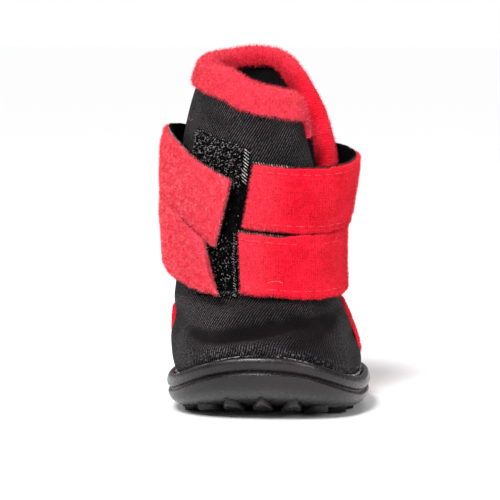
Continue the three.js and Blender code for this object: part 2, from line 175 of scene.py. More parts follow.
# The straps' runs: the height of the centre line and its gap to the shaft. A strap's top edge stands further
# out by its flare, and its lower edge stands closer by as much.
UPPER_STRAP = table(
    "angle middle stand flare",
    (0, 58, 0.9, 0),
    (22, 57, 1, 0.3),
    (45, 56.4, 1.8, 0.7),
    (68, 56.8, 3.6, 1.4),
    (92, 58.2, 4.6, 1.6),
    (120, 60.2, 4.4, 1.4),
    (150, 61.8, 3.8, 0.8),
    (182, 63.2, 3.4, 0.4),
    (215, 64.8, 3.4, 0.2),
    (245, 66, 3.6, 0.2),
    (270, 66, 3.6, 0.2),
    (292, 64.2, 3, 0.2),
    (312, 61, 2.5, 0),
    (328, 57.4, 2.4, 0),
    (346, 53.4, 2.6, 0),
)
LOWER_STRAP = table(
    "angle middle stand flare",
    (-5, 39.7, 0.8, 0),
    (18, 38.5, 0.8, 0),
    (42, 37.9, 1, 0.2),
    (65, 38.2, 1.4, 0.4),
    (92, 39.6, 1.6, 0.6),
    (120, 41.6, 1.8, 0.5),
    (150, 43.4, 2, 0.4),
    (182, 44.8, 2.1, 0.4),
    (215, 46.2, 2.2, 0.7),
    (245, 47.6, 2.3, 0.7),
    (268, 48, 2.4, 0.7),
    (285, 47.2, 2.8, 0.7),
    (304, 44.5, 3.4, 0.4),
    (318, 41.6, 3.5, 0),
    (339, 36.9, 3.4, 0),
)

# The share of a strap over which its ends lean, its black selvedge, how far its back shows past the pile's
# loose end, the back's thickness, and how far the seams are from the edges.
LEAN_FADE = 0.12
SELVEDGE = 0.65
LOOSE_END = 1.05
STRAP_BACK_THICKNESS = 0.7
SEAM_MARGIN = 1.5

# Hairs to a square millimetre, their length and thickness, and how bare the cloth is between its columns.
STRAP_HAIRS = {"per_mm2": 19, "length": 0.85, "thickness": 0.085, "parting": 0.85}
BINDING_HAIRS = {"per_mm2": 10.5, "length": 1.0, "thickness": 0.1, "parting": 0.8}
PANEL_HAIRS = {"per_mm2": 16, "length": 0.75, "thickness": 0.085, "parting": 0.7}
HAIR_TILT = 0.85

# Stitches: their pitch along the seam, their length and thickness, and their turn from it in radians.
STRAIGHT_SEAM = {"pitch": 3.4, "length": 2.7, "thickness": 0.24, "slant": 0.0}
SELVEDGE_STITCH = {"pitch": 0.67, "length": 0.95, "thickness": 0.2, "slant": -1.0}
END_STITCH = {"pitch": 0.55, "length": 0.8, "thickness": 0.2, "slant": 0.9}
OVERLOCK_STITCH = {"pitch": 0.82, "length": 1.95, "thickness": 0.25, "slant": 0.95}
THIN_OVERLOCK_STITCH = {"pitch": 0.7, "length": 0.85, "thickness": 0.17, "slant": 0.95}
TAPE_STITCH = {"pitch": 0.8, "length": 1.4, "thickness": 0.22, "slant": 0.9}

OVERLOCK_WIDTH = 1.45
HOOKS_PLANTED = {"spacing": 0.36, "per_mm2": 6.4, "height": 0.44, "thickness": 0.115}
HOOK_PATCH = table(
    "left left_height right right_height",
    (-47, 75, 1, 69.9),
    (-46, 60, -2.4, 57),
    (-43, 45, -7.4, 45),
    (-38, 30.5, -6.6, 30.5),
)
HEEL_PANEL = table(
    "angle bottom top",
    (-99, 13, 25.5),
    (-118, 13.2, 29),
    (-150, 14, 32),
    (-180, 14.6, 33),
    (-210, 14, 31.5),
    (-240, 13.2, 28),
    (-258, 13, 25.5),
)

# The cup sole's side, from the edge of its flat underside, out over the shoulder, the ridge, the groove and
# the lip, and back down inside to the edge of its floor. rise is above the underside of the rubber.
SOLE_SIDE = table(
    "inset rise",
    (5.4, 0),
    (2.8, 0.5),
    (1.1, 1.5),
    (0.2, 3),
    (0.25, 3.75),
    (0.75, 4.15),
    (1.05, 4.45),
    (0.8, 4.8),
    (0.1, 5.3),
    (-0.2, 6.4),
    (0.2, 7.8),
    (0.9, 8.4),
    (1.7, 8.3),
    (2.3, 7.4),
    (2.3, 5),
    (2.3, 2.5),
)

# Rings of tread petals: shares of the outline's reach where a petal starts and ends, its half width, which
# way its tip points, and the ring's shift as a share of its spacing.
PETAL_RINGS = table(
    "count start end half_width point turn",
    (8, 0.16, 0.34, 2.3, -1, 0.5),
    (12, 0.29, 0.52, 2.7, 1, 0),
    (20, 0.56, 0.86, 2.7, 1, 0),
)
DISC_RADIUS = 4.5

# Levels of a petal and of the disc: how large the outline is there, and how high above the lowest tread.
PETAL_LEVELS = table(
    "size rise",
    (1.04, LUG_HEIGHT + 0.5),
    (1, LUG_HEIGHT - 0.25),
    (0.97, 0.3),
    (0.9, 0.06),
    (0.84, 0),
    (0.72, 0.02),
    (0.6, 0.16),
    (0.3, 0.24),
    (0, 0.26),
)
DISC_LEVELS = table(
    "size rise",
    (1.03, LUG_HEIGHT + 0.5),
    (1, LUG_HEIGHT - 0.25),
    (0.985, 0.25),
    (0.95, 0.04),
    (0.9, 0),
    (0.8, 0.02),
    (0.76, 0.3),
    (0.72, 0.38),
    (0.3, 0.38),
    (0, 0.36),
)

# Folds pressed into the upper: the middle of each, how far it runs round the boot, its width, how
# many degrees of turn it takes to climb a millimetre, and how deep it is. A ridge has a negative depth.
FOLDS = table(
    "angle height run width slant depth",
    (9, 23.6, 30, 1.7, 9, 1.25),
    (2, 26.8, 30, 1.9, 12, -0.5),
    (26, 20, 18, 1.3, 14, 0.7),
    (-34, 22, 20, 2.2, -9, 0.6),
    (58, 24, 22, 2.2, 7, 0.8),
    (-78, 24.5, 24, 2.6, 6, 0.6),
    (86, 19, 22, 2.2, -6, 0.5),
    (20, 74, 16, 3.2, 9, 0.35),
    (-30, 78, 20, 3.4, -7, 0.3),
    (168, 44, 40, 3.6, 5, 0.5),
    (-150, 78, 34, 4, -6, 0.45),
)


# The shape of the sole and the upper

def squared(value, squareness):
    return np.sign(value) * np.abs(value) ** (2 / squareness)


def spring(y):
    toe = np.maximum(0, (TOE_SPRING_START - y) / (HALF_LENGTH + TOE_SPRING_START))
    heel = np.maximum(0, (y - HEEL_SPRING_START) / (HALF_LENGTH - HEEL_SPRING_START))
    return TOE_SPRING * toe ** 2 + HEEL_SPRING * heel ** 2


def taper(y):
    return HEEL_TAPER * y / HALF_LENGTH


def sole_outline(degrees):
    angle = np.radians(degrees)
    x = HALF_WIDTH * squared(np.sin(angle), SOLE_SQUARENESS)
    y = -HALF_LENGTH * squared(np.cos(angle), SOLE_SQUARENESS)
    return np.stack([x * (1 - taper(y)), y], -1)


def sole_inset(degrees, inset):
    """The sole's outline moved inwards."""
    step = 0.5
    along = sole_outline(degrees + step) - sole_outline(degrees - step)
    along /= np.linalg.norm(along, axis=-1, keepdims=True)
    inwards = np.stack([-along[..., 1], along[..., 0]], -1)
    return sole_outline(degrees) + inwards * np.asarray(inset)[..., None]


def sole_reach(direction):
    """How far the outline reaches from the middle, in a direction in degrees."""
    degrees = np.linspace(direction - 30, direction + 30, 601)
    points = sole_outline(degrees)
    bearing = np.degrees(np.arctan2(points[:, 0], -points[:, 1]))
    off = np.abs((bearing - direction + 180) % 360 - 180)
    return np.linalg.norm(points[np.argmin(off)])


def curl_depth(degrees, height):
    """How far the front flap's curl moves a point inwards."""
    turned = (degrees + 180) % 360 - 180
    bend = FLAP_CURL["to_angle"] - FLAP_CURL["from_angle"]
    share = np.maximum(0, (turned - FLAP_CURL["from_angle"]) / bend)
    depth = FLAP_CURL["depth"] * share ** 2 * ramp(height, FLAP_CURL["from_height"], FLAP_CURL["to_height"])
    return np.where(turned > FLAP_CURL["end_angle"], 0, depth)


def upper_point(degrees, row, curled=True):
    """A point on the upper's outside, by angle and by row of its section table."""
    toe, heel, width, front, back, lean, square, sole = (
        read(UPPER_SECTIONS, column, row) for column in UPPER_SECTIONS
    )
    angle = np.radians(degrees)
    toe_y = -toe * HALF_LENGTH
    heel_y = heel * HALF_LENGTH
    y = (toe_y + heel_y) / 2 - (heel_y - toe_y) / 2 * squared(np.cos(angle), square)
    x = width * HALF_WIDTH * squared(np.sin(angle), square) * (1 - sole * taper(y))
    share = (y - toe_y) / (heel_y - toe_y)
    z = COLLAR_HEIGHT * (front + (back - front) * share) + sole * spring(y)
    curl = curl_depth(degrees, z) if curled else 0
    return np.stack([x + lean - curl * np.sin(angle), y + curl * np.cos(angle), z], -1)


def row_at_height(degrees, height, curled=True):
    degrees, height = np.broadcast_arrays(np.asarray(degrees, float), np.asarray(height, float))
    low = np.zeros(degrees.shape)
    high = np.full(degrees.shape, float(TOP_ROW))
    halvings = 20
    for _ in range(halvings):
        middle = (low + high) / 2
        below = upper_point(degrees, middle, curled)[..., 2] < height
        low = np.where(below, middle, low)
        high = np.where(below, high, middle)
    return low


def upper_normal(degrees, row, curled=True):
    turn = 1.0
    climb = 0.05
    around = upper_point(degrees + turn, row, curled) - upper_point(degrees - turn, row, curled)
    above = upper_point(degrees, np.minimum(row + climb, TOP_ROW), curled)
    below = upper_point(degrees, np.maximum(row - climb, 0), curled)
    normal = np.cross(around, above - below)
    return normal / np.linalg.norm(normal, axis=-1, keepdims=True)


def upper_at_row(degrees, row, out, curled=True):
    """The upper's outside moved outwards along its normal."""
    point = upper_point(degrees, row, curled)
    return point + upper_normal(degrees, row, curled) * np.asarray(out)[..., None]


def upper_at(degrees, height, out, curled=True):
    return upper_at_row(degrees, row_at_height(degrees, height, curled), out, curled)


def line_on_shaft(degrees, height, out, depth=1.0):
    """Points off the shaft, and at each of them a step of some depth straight outwards."""
    points = upper_at(degrees, height, out, False)
    return points, points - upper_at(degrees, height, out - depth, False)


def fold_depth(degrees, height):
    """How deep the folds press in at a place on the upper."""
    depth = 0
    for angle, middle, run, width, slant, deep in zip(*FOLDS.values()):
        turned = (degrees - angle + 180) % 360 - 180
        centre = middle + turned / slant * 0.5
        along = hump(turned, 0, run)
        across = hump(height, centre, width) - 0.45 * hump(np.abs(height - centre), 1.9 * width, width)
        depth = depth + deep * along * across
    return depth


def ripple(u, v, seed, size=9.0):
    """Gentle unevenness between -1 and 1, from a few crossing waves over lengths in millimetres."""
    phase = np.random.default_rng(seed).uniform(0, 2 * math.pi, 6)
    waves = [(1, 0.35), (-0.6, 1), (0.45, 1.7), (1.9, -0.8), (-1.4, -2.1), (2.6, 1.5)]
    total = sum(
        math.pow(0.75, n) * np.sin(2 * math.pi * (a * u + b * v) / (size * 2.2) + phase[n])
        for n, (a, b) in enumerate(waves)
    )
    return total / 2.4


# Making meshes

def spans_of(grid):
    """A grid of texture places, given for each span of a sweep: where it starts and where it ends."""
    return np.stack([grid[:-1], grid[1:]], 1)


def turned_out(mesh):
    """Turns a closed mesh's faces outwards."""
    mesh.calc_loop_triangles()
    corners = np.empty(len(mesh.loop_triangles) * 3, np.int32)
    mesh.loop_triangles.foreach_get("vertices", corners)
    points = np.empty(len(mesh.vertices) * 3)
    mesh.vertices.foreach_get("co", points)
    a, b, c = points.reshape(-1, 3)[corners.reshape(-1, 3)].transpose(1, 0, 2)
    if np.einsum("ij,ij->i", a, np.cross(b, c)).sum() < 0:
        mesh.flip_normals()


def place_object(name, data):
    piece = bpy.data.objects.new(name, data)
    bpy.context.scene.collection.objects.link(piece)
    return piece


def final_mesh(piece):
    """A plain mesh of a piece with its modifiers and bevels worked out."""
    depsgraph = bpy.context.evaluated_depsgraph_get()
    return bpy.data.meshes.new_from_object(piece.evaluated_get(depsgraph), depsgraph=depsgraph)


def mesh_piece(name, points, faces, corner_uv, materials, face_materials, sharp):
    """An object from points in millimetres, faces, and a texture place for each face corner."""
    mesh = bpy.data.meshes.new(name)
    mesh.from_pydata((np.asarray(points) * MM).tolist(), [], faces)
    layer = mesh.uv_layers.new(name="UVMap")
    layer.uv.foreach_set("vector", np.asarray(corner_uv, np.float32).ravel())
    for material in materials:
        mesh.materials.append(material)
    mesh.polygons.foreach_set("material_index", np.asarray(face_materials, np.int32))
    mesh.shade_smooth()
    mesh.set_sharp_from_angle(angle=math.radians(sharp))
    return place_object(name, mesh)


def merge_doubles(piece):
    work = bmesh.new()
    work.from_mesh(piece.data)
    bmesh.ops.remove_doubles(work, verts=work.verts, dist=1e-7)
    work.to_mesh(piece.data)
    work.free()


def sweep(name, loops, uv, materials, closed=False, kinds=None, sharp=40, **masks):
    """A skin through loops of points. uv holds, for each span between loops, the texture places along the
    loop where the span starts and where it ends, the first point's place repeated at the end. A path that
    isn't closed gets flat ends. kinds gives the number of the material for each point of a loop. The masks
    say, for each point of a loop or of all, how thickly hairs stand (nap), how far the pile is raised and
    painted as lit (brushed), and how much painted shade its pits and ribs get (worn)."""
    count, around = loops.shape[:2]
    spans = count if closed else count - 1
    i = np.repeat(np.arange(spans), around)
    j = np.tile(np.arange(around), spans)
    next_i = (i + 1) % count
    next_j = (j + 1) % around
    quads = np.stack(
        [i * around + j, next_i * around + j, next_i * around + next_j, i * around + next_j], 1
    )
    corner_uv = np.stack([uv[i, 0, j], uv[i, 1, j], uv[i, 1, j + 1], uv[i, 0, j + 1]], 1).reshape(-1, 2)
    faces = quads.tolist()
    face_kinds = np.zeros(len(faces), np.int32) if kinds is None else np.asarray(kinds)[j]
    if not closed:
        faces.append(list(range(around)))
        faces.append([(count - 1) * around + k for k in reversed(range(around))])
        corner_uv = np.concatenate([corner_uv, uv[0, 0, :around], uv[-1, 1, :around][::-1]])
        face_kinds = np.append(face_kinds, [0, 0])
    piece = mesh_piece(name, loops.reshape(-1, 3), faces, corner_uv, materials, face_kinds, sharp)
    for mask, values in masks.items():
        set_mask(piece, mask, np.broadcast_to(values, (count, around)).ravel())
    merge_doubles(piece)
    turned_out(piece.data)
    return piece


def lengths_along(points, axis=0):
    """Running length in millimetres along one axis of a grid of points."""
    steps = np.linalg.norm(np.diff(points, axis=axis), axis=-1)
    start = np.zeros_like(np.take(steps, [0], axis))
    return np.concatenate([start, np.cumsum(steps, axis)], axis)


def run_uv(loops):
    """Texture places in millimetres for a sweep along a path: along the path's middle, and round the loop."""
    closed_loops = np.concatenate([loops, loops[:, :1]], 1)
    along = lengths_along(loops.mean(1), 0)
    around = lengths_along(closed_loops, 1)
    grid = np.stack([np.broadcast_to(along[:, None], around.shape), around], -1)
    return spans_of(grid)


def set_mask(piece, name, values):
    """A number at each vertex, under a name that nodes can read."""
    attribute = piece.data.attributes.new(name, "FLOAT", "POINT")
    attribute.data.foreach_set("value", np.asarray(values, np.float32))


def vertex_points(piece):
    """The piece's vertices in millimetres."""
    points = np.empty(len(piece.data.vertices) * 3)
    piece.data.vertices.foreach_get("co", points)
    return points.reshape(-1, 3) / MM


# Node trees

class Graph:
    """Adds nodes to a tree. Each input, by name or number, gets a socket or a plain value."""

    def __init__(self, tree):
        self.tree = tree

    def add(self, kind, inputs=None, **settings):
        node = self.tree.nodes.new(kind)
        for key, value in settings.items():
            setattr(node, key, value)
        for key, value in (inputs or {}).items():
            if isinstance(value, bpy.types.NodeSocket):
                self.feed(value, node.inputs[key])
            else:
                node.inputs[key].default_value = value
        return node

    def feed(self, value, socket):
        self.tree.links.new(value, socket)

    def mask(self, name):
        """A mask on the mesh, in a material."""
        return self.add("ShaderNodeAttribute", attribute_name=name).outputs["Fac"]

    def named(self, name, form="FLOAT"):
        """An attribute of the mesh, in Geometry Nodes."""
        return self.add("GeometryNodeInputNamedAttribute", {"Name": name}, data_type=form).outputs[0]

    def chance(self, low, high, seed):
        """A number at random for each point."""
        inputs = {2: low, 3: high, "Seed": seed}
        return self.add("FunctionNodeRandomValue", inputs, data_type="FLOAT").outputs[1]

    def turned(self, rotation, low, high, seed):
        """A rotation with a turn at random added, between two sets of angles."""
        inputs = {0: low, 1: high, "Seed": seed}
        angles = self.add("FunctionNodeRandomValue", inputs, data_type="FLOAT_VECTOR").outputs[0]
        turn = self.add("FunctionNodeEulerToRotation", {0: angles}).outputs[0]
        inputs = {"Rotation": rotation, "Rotate By": turn}
        return self.add("FunctionNodeRotateRotation", inputs, rotation_space="LOCAL").outputs[0]

    def finished(self, instances, material):
        """Instances made real, in a material."""
        solid = self.add("GeometryNodeRealizeInstances", {0: instances}).outputs[0]
        return self.add("GeometryNodeSetMaterial", {"Geometry": solid, "Material": material}).outputs[0]

    def joined(self, *geometries):
        node = self.add("GeometryNodeJoinGeometry")
        for geometry in geometries:
            self.feed(geometry, node.inputs[0])
        return node.outputs[0]

    def math(self, operation, *values):
        return self.add("ShaderNodeMath", dict(enumerate(values)), operation=operation).outputs[0]

    def plus(self, first, second):
        return self.math("ADD", first, second)

    def minus(self, first, second):
        return self.math("SUBTRACT", first, second)

    def times(self, first, second):
        return self.math("MULTIPLY", first, second)

    def scaled(self, value, factor, start):
        """A value times a factor, and then a start added."""
        return self.math("MULTIPLY_ADD", value, factor, start)

    def vector(self, x, y, z):
        return self.add("ShaderNodeCombineXYZ", {0: x, 1: y, 2: z}).outputs[0]

    def place(self):
        """Where a point is on the piece, in metres."""
        return self.add("ShaderNodeTexCoord").outputs["Object"]

    def mix(self, factor, first, second):
        inputs = {0: factor, 6: first, 7: second}
        return self.add("ShaderNodeMix", inputs, data_type="RGBA").outputs[2]

    def noise(self, vector, scale, detail=2.0, roughness=0.5):
        inputs = {"Vector": vector, "Scale": scale, "Detail": detail, "Roughness": roughness}
        return self.add("ShaderNodeTexNoise", inputs).outputs["Fac"]

    def between(self, value, low, high):
        inputs = {"Value": value, "From Min": low, "From Max": high}
        return self.add("ShaderNodeMapRange", inputs, interpolation_type="SMOOTHSTEP").outputs["Result"]

    def wave(self, value):
        """A cosine of a value in turns, from 0 to 1."""
        return self.scaled(self.math("COSINE", self.times(value, 2 * math.pi)), 0.5, 0.5)


def pile_relief(graph, place, pitch, course):
    """At a place in millimetres on looped pile: how near it is to the middle of a column and of a course, and
    how deep a pit it has, each from 0 to 1."""
    along, across = graph.add("ShaderNodeSeparateXYZ", {0: place}).outputs[:2]
    column_drift = graph.scaled(graph.noise(place, 0.75, 3, 0.65), 2.2, -1.1)
    row_drift = graph.scaled(graph.noise(place, 0.9, 2), 2.4, -1.2)
    column = graph.wave(graph.plus(graph.math("DIVIDE", along, pitch), column_drift))
    row = graph.wave(graph.plus(graph.math("DIVIDE", across, course), row_drift))
    open_column = graph.minus(1.0, column)
    corner = graph.times(open_column, graph.minus(1.0, row))
    patchy = graph.between(graph.noise(place, 0.9, 3, 0.65), 0.44, 0.62)
    seam = graph.times(graph.math("POWER", open_column, 2.0), 0.4)
    deepest = graph.math("MAXIMUM", corner, seam)
    pit = graph.times(deepest, graph.scaled(patchy, 0.8, 0.2))
    return column, row, pit


SOCKETS = {"float": "NodeSocketFloat", "vector": "NodeSocketVector", "colour": "NodeSocketColor",
           "geometry": "NodeSocketGeometry", "material": "NodeSocketMaterial", "int": "NodeSocketInt"}


def new_tree(name, kind, inputs, outputs):
    """A node group with named inputs and outputs, with its graph and its two end nodes."""
    tree = bpy.data.node_groups.new(name, kind)
    for socket, form in inputs.items():
        tree.interface.new_socket(name=socket, in_out="INPUT", socket_type=SOCKETS[form])
    for socket, form in outputs.items():
        tree.interface.new_socket(name=socket, in_out="OUTPUT", socket_type=SOCKETS[form])
    graph = Graph(tree)
    return graph, graph.add("NodeGroupInput").outputs, graph.add("NodeGroupOutput").inputs


def twill_group():
    """Slanting ribs of a twill: their height, and where their tops catch light."""
    graph, given, result = new_tree(
        "twill ribs", "ShaderNodeTree",
        {"Place": "vector", "Pitch": "float", "Lean": "float"}, {"Height": "float", "Ridge": "float"},
    )
    x, y = graph.add("ShaderNodeSeparateXYZ", {0: given["Place"]}).outputs[:2]
    sine = graph.math("SINE", given["Lean"])
    cosine = graph.math("COSINE", given["Lean"])
    across = graph.minus(graph.times(x, sine), graph.times(y, cosine))
    along = graph.plus(graph.times(x, cosine), graph.times(y, sine))
    waver = graph.scaled(graph.noise(given["Place"], 0.25, 2), 0.9, -0.45)
    turns = graph.plus(graph.math("DIVIDE", across, given["Pitch"]), waver)
    rib = graph.wave(turns)
    plies = graph.scaled(along, 1.1, graph.times(turns, 0.5))
    twist = graph.wave(plies)
    broken = graph.between(graph.noise(given["Place"], 1.9, 3, 0.6), 0.34, 0.6)
    graph.feed(graph.scaled(twist, 0.15, rib), result["Height"])
    lit = graph.times(graph.math("POWER", rib, 2.5), graph.scaled(twist, 0.35, 0.65))
    graph.feed(graph.times(lit, broken), result["Ridge"])
    return graph.tree


def wale_group():
    """Upright columns of looped pile with pits between the loops: height, and how deep the pits are."""
    graph, given, result = new_tree(
        "pile wales", "ShaderNodeTree",
        {"Place": "vector", "Pitch": "float", "Course": "float"}, {"Height": "float", "Pit": "float"},
    )
    column, row, pit = pile_relief(graph, given["Place"], given["Pitch"], given["Course"])
    tuft = graph.noise(given["Place"], 2.8, 3, 0.6)
    loops = graph.scaled(column, 0.5, graph.times(row, 0.25))
    graph.feed(graph.plus(loops, tuft), result["Height"])
    graph.feed(pit, result["Pit"])
    return graph.tree


def mottle_group():
    """Slow and quick unevenness over a piece, each from 0 to 1."""
    graph, given, result = new_tree(
        "mottle", "ShaderNodeTree",
        {"Slow": "float", "Quick": "float"}, {"Slow": "float", "Quick": "float"},
    )
    place = graph.place()
    slow = graph.noise(place, given["Slow"], 3)
    quick = graph.noise(place, given["Quick"], 4, 0.65)
    graph.feed(graph.between(slow, 0.35, 0.68), result["Slow"])
    graph.feed(graph.between(quick, 0.3, 0.72), result["Quick"])
    return graph.tree


TWILL = twill_group()
WALES = wale_group()
MOTTLE = mottle_group()


def colour(red, green, blue):
    return (red, green, blue, 1.0)


def grey(value):
    return colour(value, value, value)


def new_material(name, **values):
    """A material whose Principled BSDF has plain values, with its graph and that shader's inputs."""
    material = bpy.data.materials.new(name)
    material.use_nodes = True
    shader = material.node_tree.nodes["Principled BSDF"]
    for key, value in values.items():
        shader.inputs[key.replace("_", " ")].default_value = value
    return material, Graph(material.node_tree), shader.inputs


def place_in_mm(graph):
    return graph.add("ShaderNodeUVMap", uv_map="UVMap").outputs["UV"]


def use_group(graph, group, **inputs):
    return graph.add("ShaderNodeGroup", inputs, node_tree=group).outputs


def bump(graph, height, distance):
    inputs = {"Height": height, "Distance": distance * MM, "Strength": 1.0}
    return graph.add("ShaderNodeBump", inputs).outputs["Normal"]


def finish_surface(graph, shader, base, height, distance):
    """Gives a shader its colour, and a relief as deep as the distance in millimetres."""
    graph.feed(base, shader["Base Color"])
    graph.feed(bump(graph, height, distance), shader["Normal"])


def pit_strength(graph, lifted_and_lit, worn):
    """How dark the painted shade in the pits is: less where the pile is raised, more where a mask asks for
    more painted shade.
    """
    strength = graph.scaled(lifted_and_lit, -0.55, 0.8)
    return graph.math("MINIMUM", graph.scaled(worn, 0.7, strength), 1.0)


def red_pile(name, pitch, course):
    """Red pile cloth: columns of loops with painted shade in their pits, deeper where a mask asks for more
    painted shade, and a paler pink where the pile is raised, partly painted light."""
    material, graph, shader = new_material(
        name, Roughness=0.9, Sheen_Weight=0.2, Sheen_Roughness=0.4, Specular_IOR_Level=0.06,
        Sheen_Tint=colour(1.0, 0.3, 0.36),
    )
    wales = use_group(graph, WALES, Place=place_in_mm(graph), Pitch=pitch, Course=course)
    mottle = use_group(graph, MOTTLE, Slow=140.0, Quick=900.0)
    lifted_and_lit, worn = graph.mask("brushed"), graph.mask("worn")
    body = graph.mix(mottle["Slow"], DEEP_RED, BRIGHT_RED)
    body = graph.mix(lifted_and_lit, body, BRUSHED_LIT_RED)
    shade = graph.times(wales["Pit"], pit_strength(graph, lifted_and_lit, worn))
    finish_surface(graph, shader, graph.mix(shade, body, PIT_SHADE_RED), wales["Height"], 0.35)
    return material


def nap_material(name, root, tip, brushed):
    """The fine hairs that stand off pile cloth, each one a little different, with painted shade round the
    pits, and a paler pink where the pile is raised, partly painted light.
    """
    material, graph, shader = new_material(
        name, Roughness=0.8, Sheen_Weight=0.25, Sheen_Roughness=0.35, Specular_IOR_Level=0.08,
        Sheen_Tint=colour(1.0, 0.4, 0.45),
    )
    place = graph.place()
    hairs = graph.between(graph.noise(place, 1500.0, 3, 0.7), 0.34, 0.66)
    clumps = graph.between(graph.noise(place, 620.0, 3, 0.6), 0.36, 0.62)
    hairs = graph.times(hairs, graph.scaled(clumps, 0.65, 0.35))
    lifted_and_lit, worn, pit = (graph.mask(name) for name in ("brushed", "worn", "pit"))
    base = graph.mix(hairs, root, graph.mix(lifted_and_lit, tip, brushed))
    shade = graph.times(pit, pit_strength(graph, lifted_and_lit, worn))
    graph.feed(graph.mix(shade, base, PIT_SHADE_RED), shader["Base Color"])
    return material


def twill_material():
    """The upper's black twill: ribs that catch light, and crumbs of sole cement near the lip."""
    material, graph, shader = new_material(
        "black twill", Roughness=0.7, Sheen_Weight=0.012, Sheen_Roughness=0.35, Specular_IOR_Level=0.05,
    )
    place = place_in_mm(graph)
    ribs = use_group(graph, TWILL, Place=place, Pitch=0.6, Lean=math.radians(60))
    mottle = use_group(graph, MOTTLE, Slow=90.0, Quick=1400.0)
    body = graph.mix(mottle["Slow"], colour(0.0025, 0.0022, 0.0027), colour(0.005, 0.0044, 0.005))
    # The ribs' tops are painted lighter, a painted highlight that varies slowly over the cloth, and painted
    # shade from a mask dims them on the toe's slit side and inside the folds.
    worn = graph.mask("worn")
    lit = graph.scaled(mottle["Slow"], 0.5, 0.5)
    lit = graph.times(lit, graph.scaled(worn, -0.85, 1.0))
    ridge = graph.mix(graph.times(ribs["Ridge"], lit), body, colour(0.165, 0.15, 0.158))
    crumbs = graph.between(graph.noise(place, 1.3, 4, 0.72), 0.55, 0.63)
    smear = graph.times(graph.times(crumbs, graph.mask("near_lip")), 0.75)
    base = graph.mix(smear, ridge, colour(0.3, 0.285, 0.28))
    finish_surface(graph, shader, base, ribs["Height"], 0.2)
    return material


def lining_material():
    """The dark plush that lines the boot."""
    material, graph, shader = new_material(
        "black plush", Roughness=0.95, Sheen_Weight=0.02, Sheen_Roughness=0.5, Specular_IOR_Level=0.04,
    )
    mottle = use_group(graph, MOTTLE, Slow=260.0, Quick=2200.0)
    base = graph.mix(mottle["Quick"], colour(0.003, 0.0025, 0.003), colour(0.016, 0.013, 0.014))
    finish_surface(graph, shader, base, mottle["Quick"], 0.4)
    return material


def webbing_material():
    """The straps' black back: a close weave with a few pale specks."""
    material, graph, shader = new_material(
        "black strap back", Roughness=0.85, Specular_IOR_Level=0.03,
    )
    place = place_in_mm(graph)
    ribs = use_group(graph, TWILL, Place=place, Pitch=0.55, Lean=math.radians(90))
    specks = graph.between(graph.noise(place, 2.2, 3, 0.7), 0.62, 0.74)
    dark, thread = colour(0.002, 0.0018, 0.002), colour(0.016, 0.014, 0.015)
    # The weave's rib tops are painted lighter where they would catch light: a painted highlight.
    body = graph.mix(graph.times(ribs["Ridge"], 0.5), dark, thread)
    base = graph.mix(graph.times(specks, 0.4), body, colour(0.14, 0.13, 0.13))
    finish_surface(graph, shader, base, ribs["Height"], 0.12)
    return material


def rubber_material():
    """Moulded black rubber: a soft sheen, a fine skin, a few scuffs, a brownish tint that is a painted
    reflection, and pale patches, partly a dusty film and partly a painted reflection.
    """
    material, graph, shader = new_material(
        "black rubber", Specular_IOR_Level=0.36, Coat_Weight=0.2, Coat_Roughness=0.16,
    )
    place = graph.place()
    mottle = use_group(graph, MOTTLE, Slow=70.0, Quick=1100.0)
    # The body colours' brownish tint is a painted reflection.
    body = graph.mix(mottle["Slow"], colour(0.0036, 0.0028, 0.0032), colour(0.0105, 0.0074, 0.0082))
    stretched = graph.add(
        "ShaderNodeMapping", {"Vector": place, "Scale": (60.0, 900.0, 500.0), "Rotation": (0, 0, 0.5)}
    )
    scratch = graph.between(graph.noise(stretched.outputs[0], 1.0, 3, 0.6), 0.68, 0.74)
    scuffed = graph.mix(graph.times(scratch, 0.35), body, colour(0.09, 0.082, 0.08))
    # Pale patches, partly a dusty film and partly a painted reflection.
    dust_and_reflection = graph.between(graph.noise(place, 420.0, 5, 0.75), 0.6, 0.78)
    with_dust_and_reflection = graph.mix(graph.times(dust_and_reflection, 0.16), scuffed, colour(0.16, 0.15, 0.145))
    rough = graph.scaled(mottle["Quick"], 0.2, 0.24)
    graph.feed(graph.scaled(scratch, 0.15, rough), shader["Roughness"])
    finish_surface(graph, shader, with_dust_and_reflection, mottle["Quick"], 0.05)
    return material


def speckled_material(name, dark, light, roughness, shine, speckle, low, high):
    """A dark colour with light specks, from a noise of given scale and detail read between two levels."""
    material, graph, shader = new_material(name, Roughness=roughness, Specular_IOR_Level=shine)
    specks = graph.between(graph.noise(graph.place(), *speckle), low, high)
    graph.feed(graph.mix(specks, dark, light), shader["Base Color"])
    return material


def hook_material(name, base, glint, roughness, shine, share):
    """Black nylon with glints here and there, on about a share of it."""
    low, high = 0.66 - share * 0.3, 0.76 - share * 0.3
    return speckled_material(name, base, glint, roughness, shine, (1300.0, 1), low, high)


def thread_material(name, dark, light):
    """Sewing thread, with its plies caught by the light here and there."""
    return speckled_material(name, dark, light, 0.6, 0.4, (2400.0, 2), 0.4, 0.62)


def foam_material():
    """The insole's ribbed cloth face."""
    material, graph, shader = new_material(
        "dark insole cloth", Roughness=0.92, Sheen_Weight=0.1, Specular_IOR_Level=0.1,
    )
    place = place_in_mm(graph)
    ribs = use_group(graph, TWILL, Place=place, Pitch=1.1, Lean=math.radians(45))
    # The ribs' tops are painted lighter where they would catch light: a painted highlight.
    base = graph.mix(ribs["Ridge"], colour(0.013, 0.013, 0.014), colour(0.05, 0.05, 0.052))
    finish_surface(graph, shader, base, ribs["Height"], 0.15)
    return material


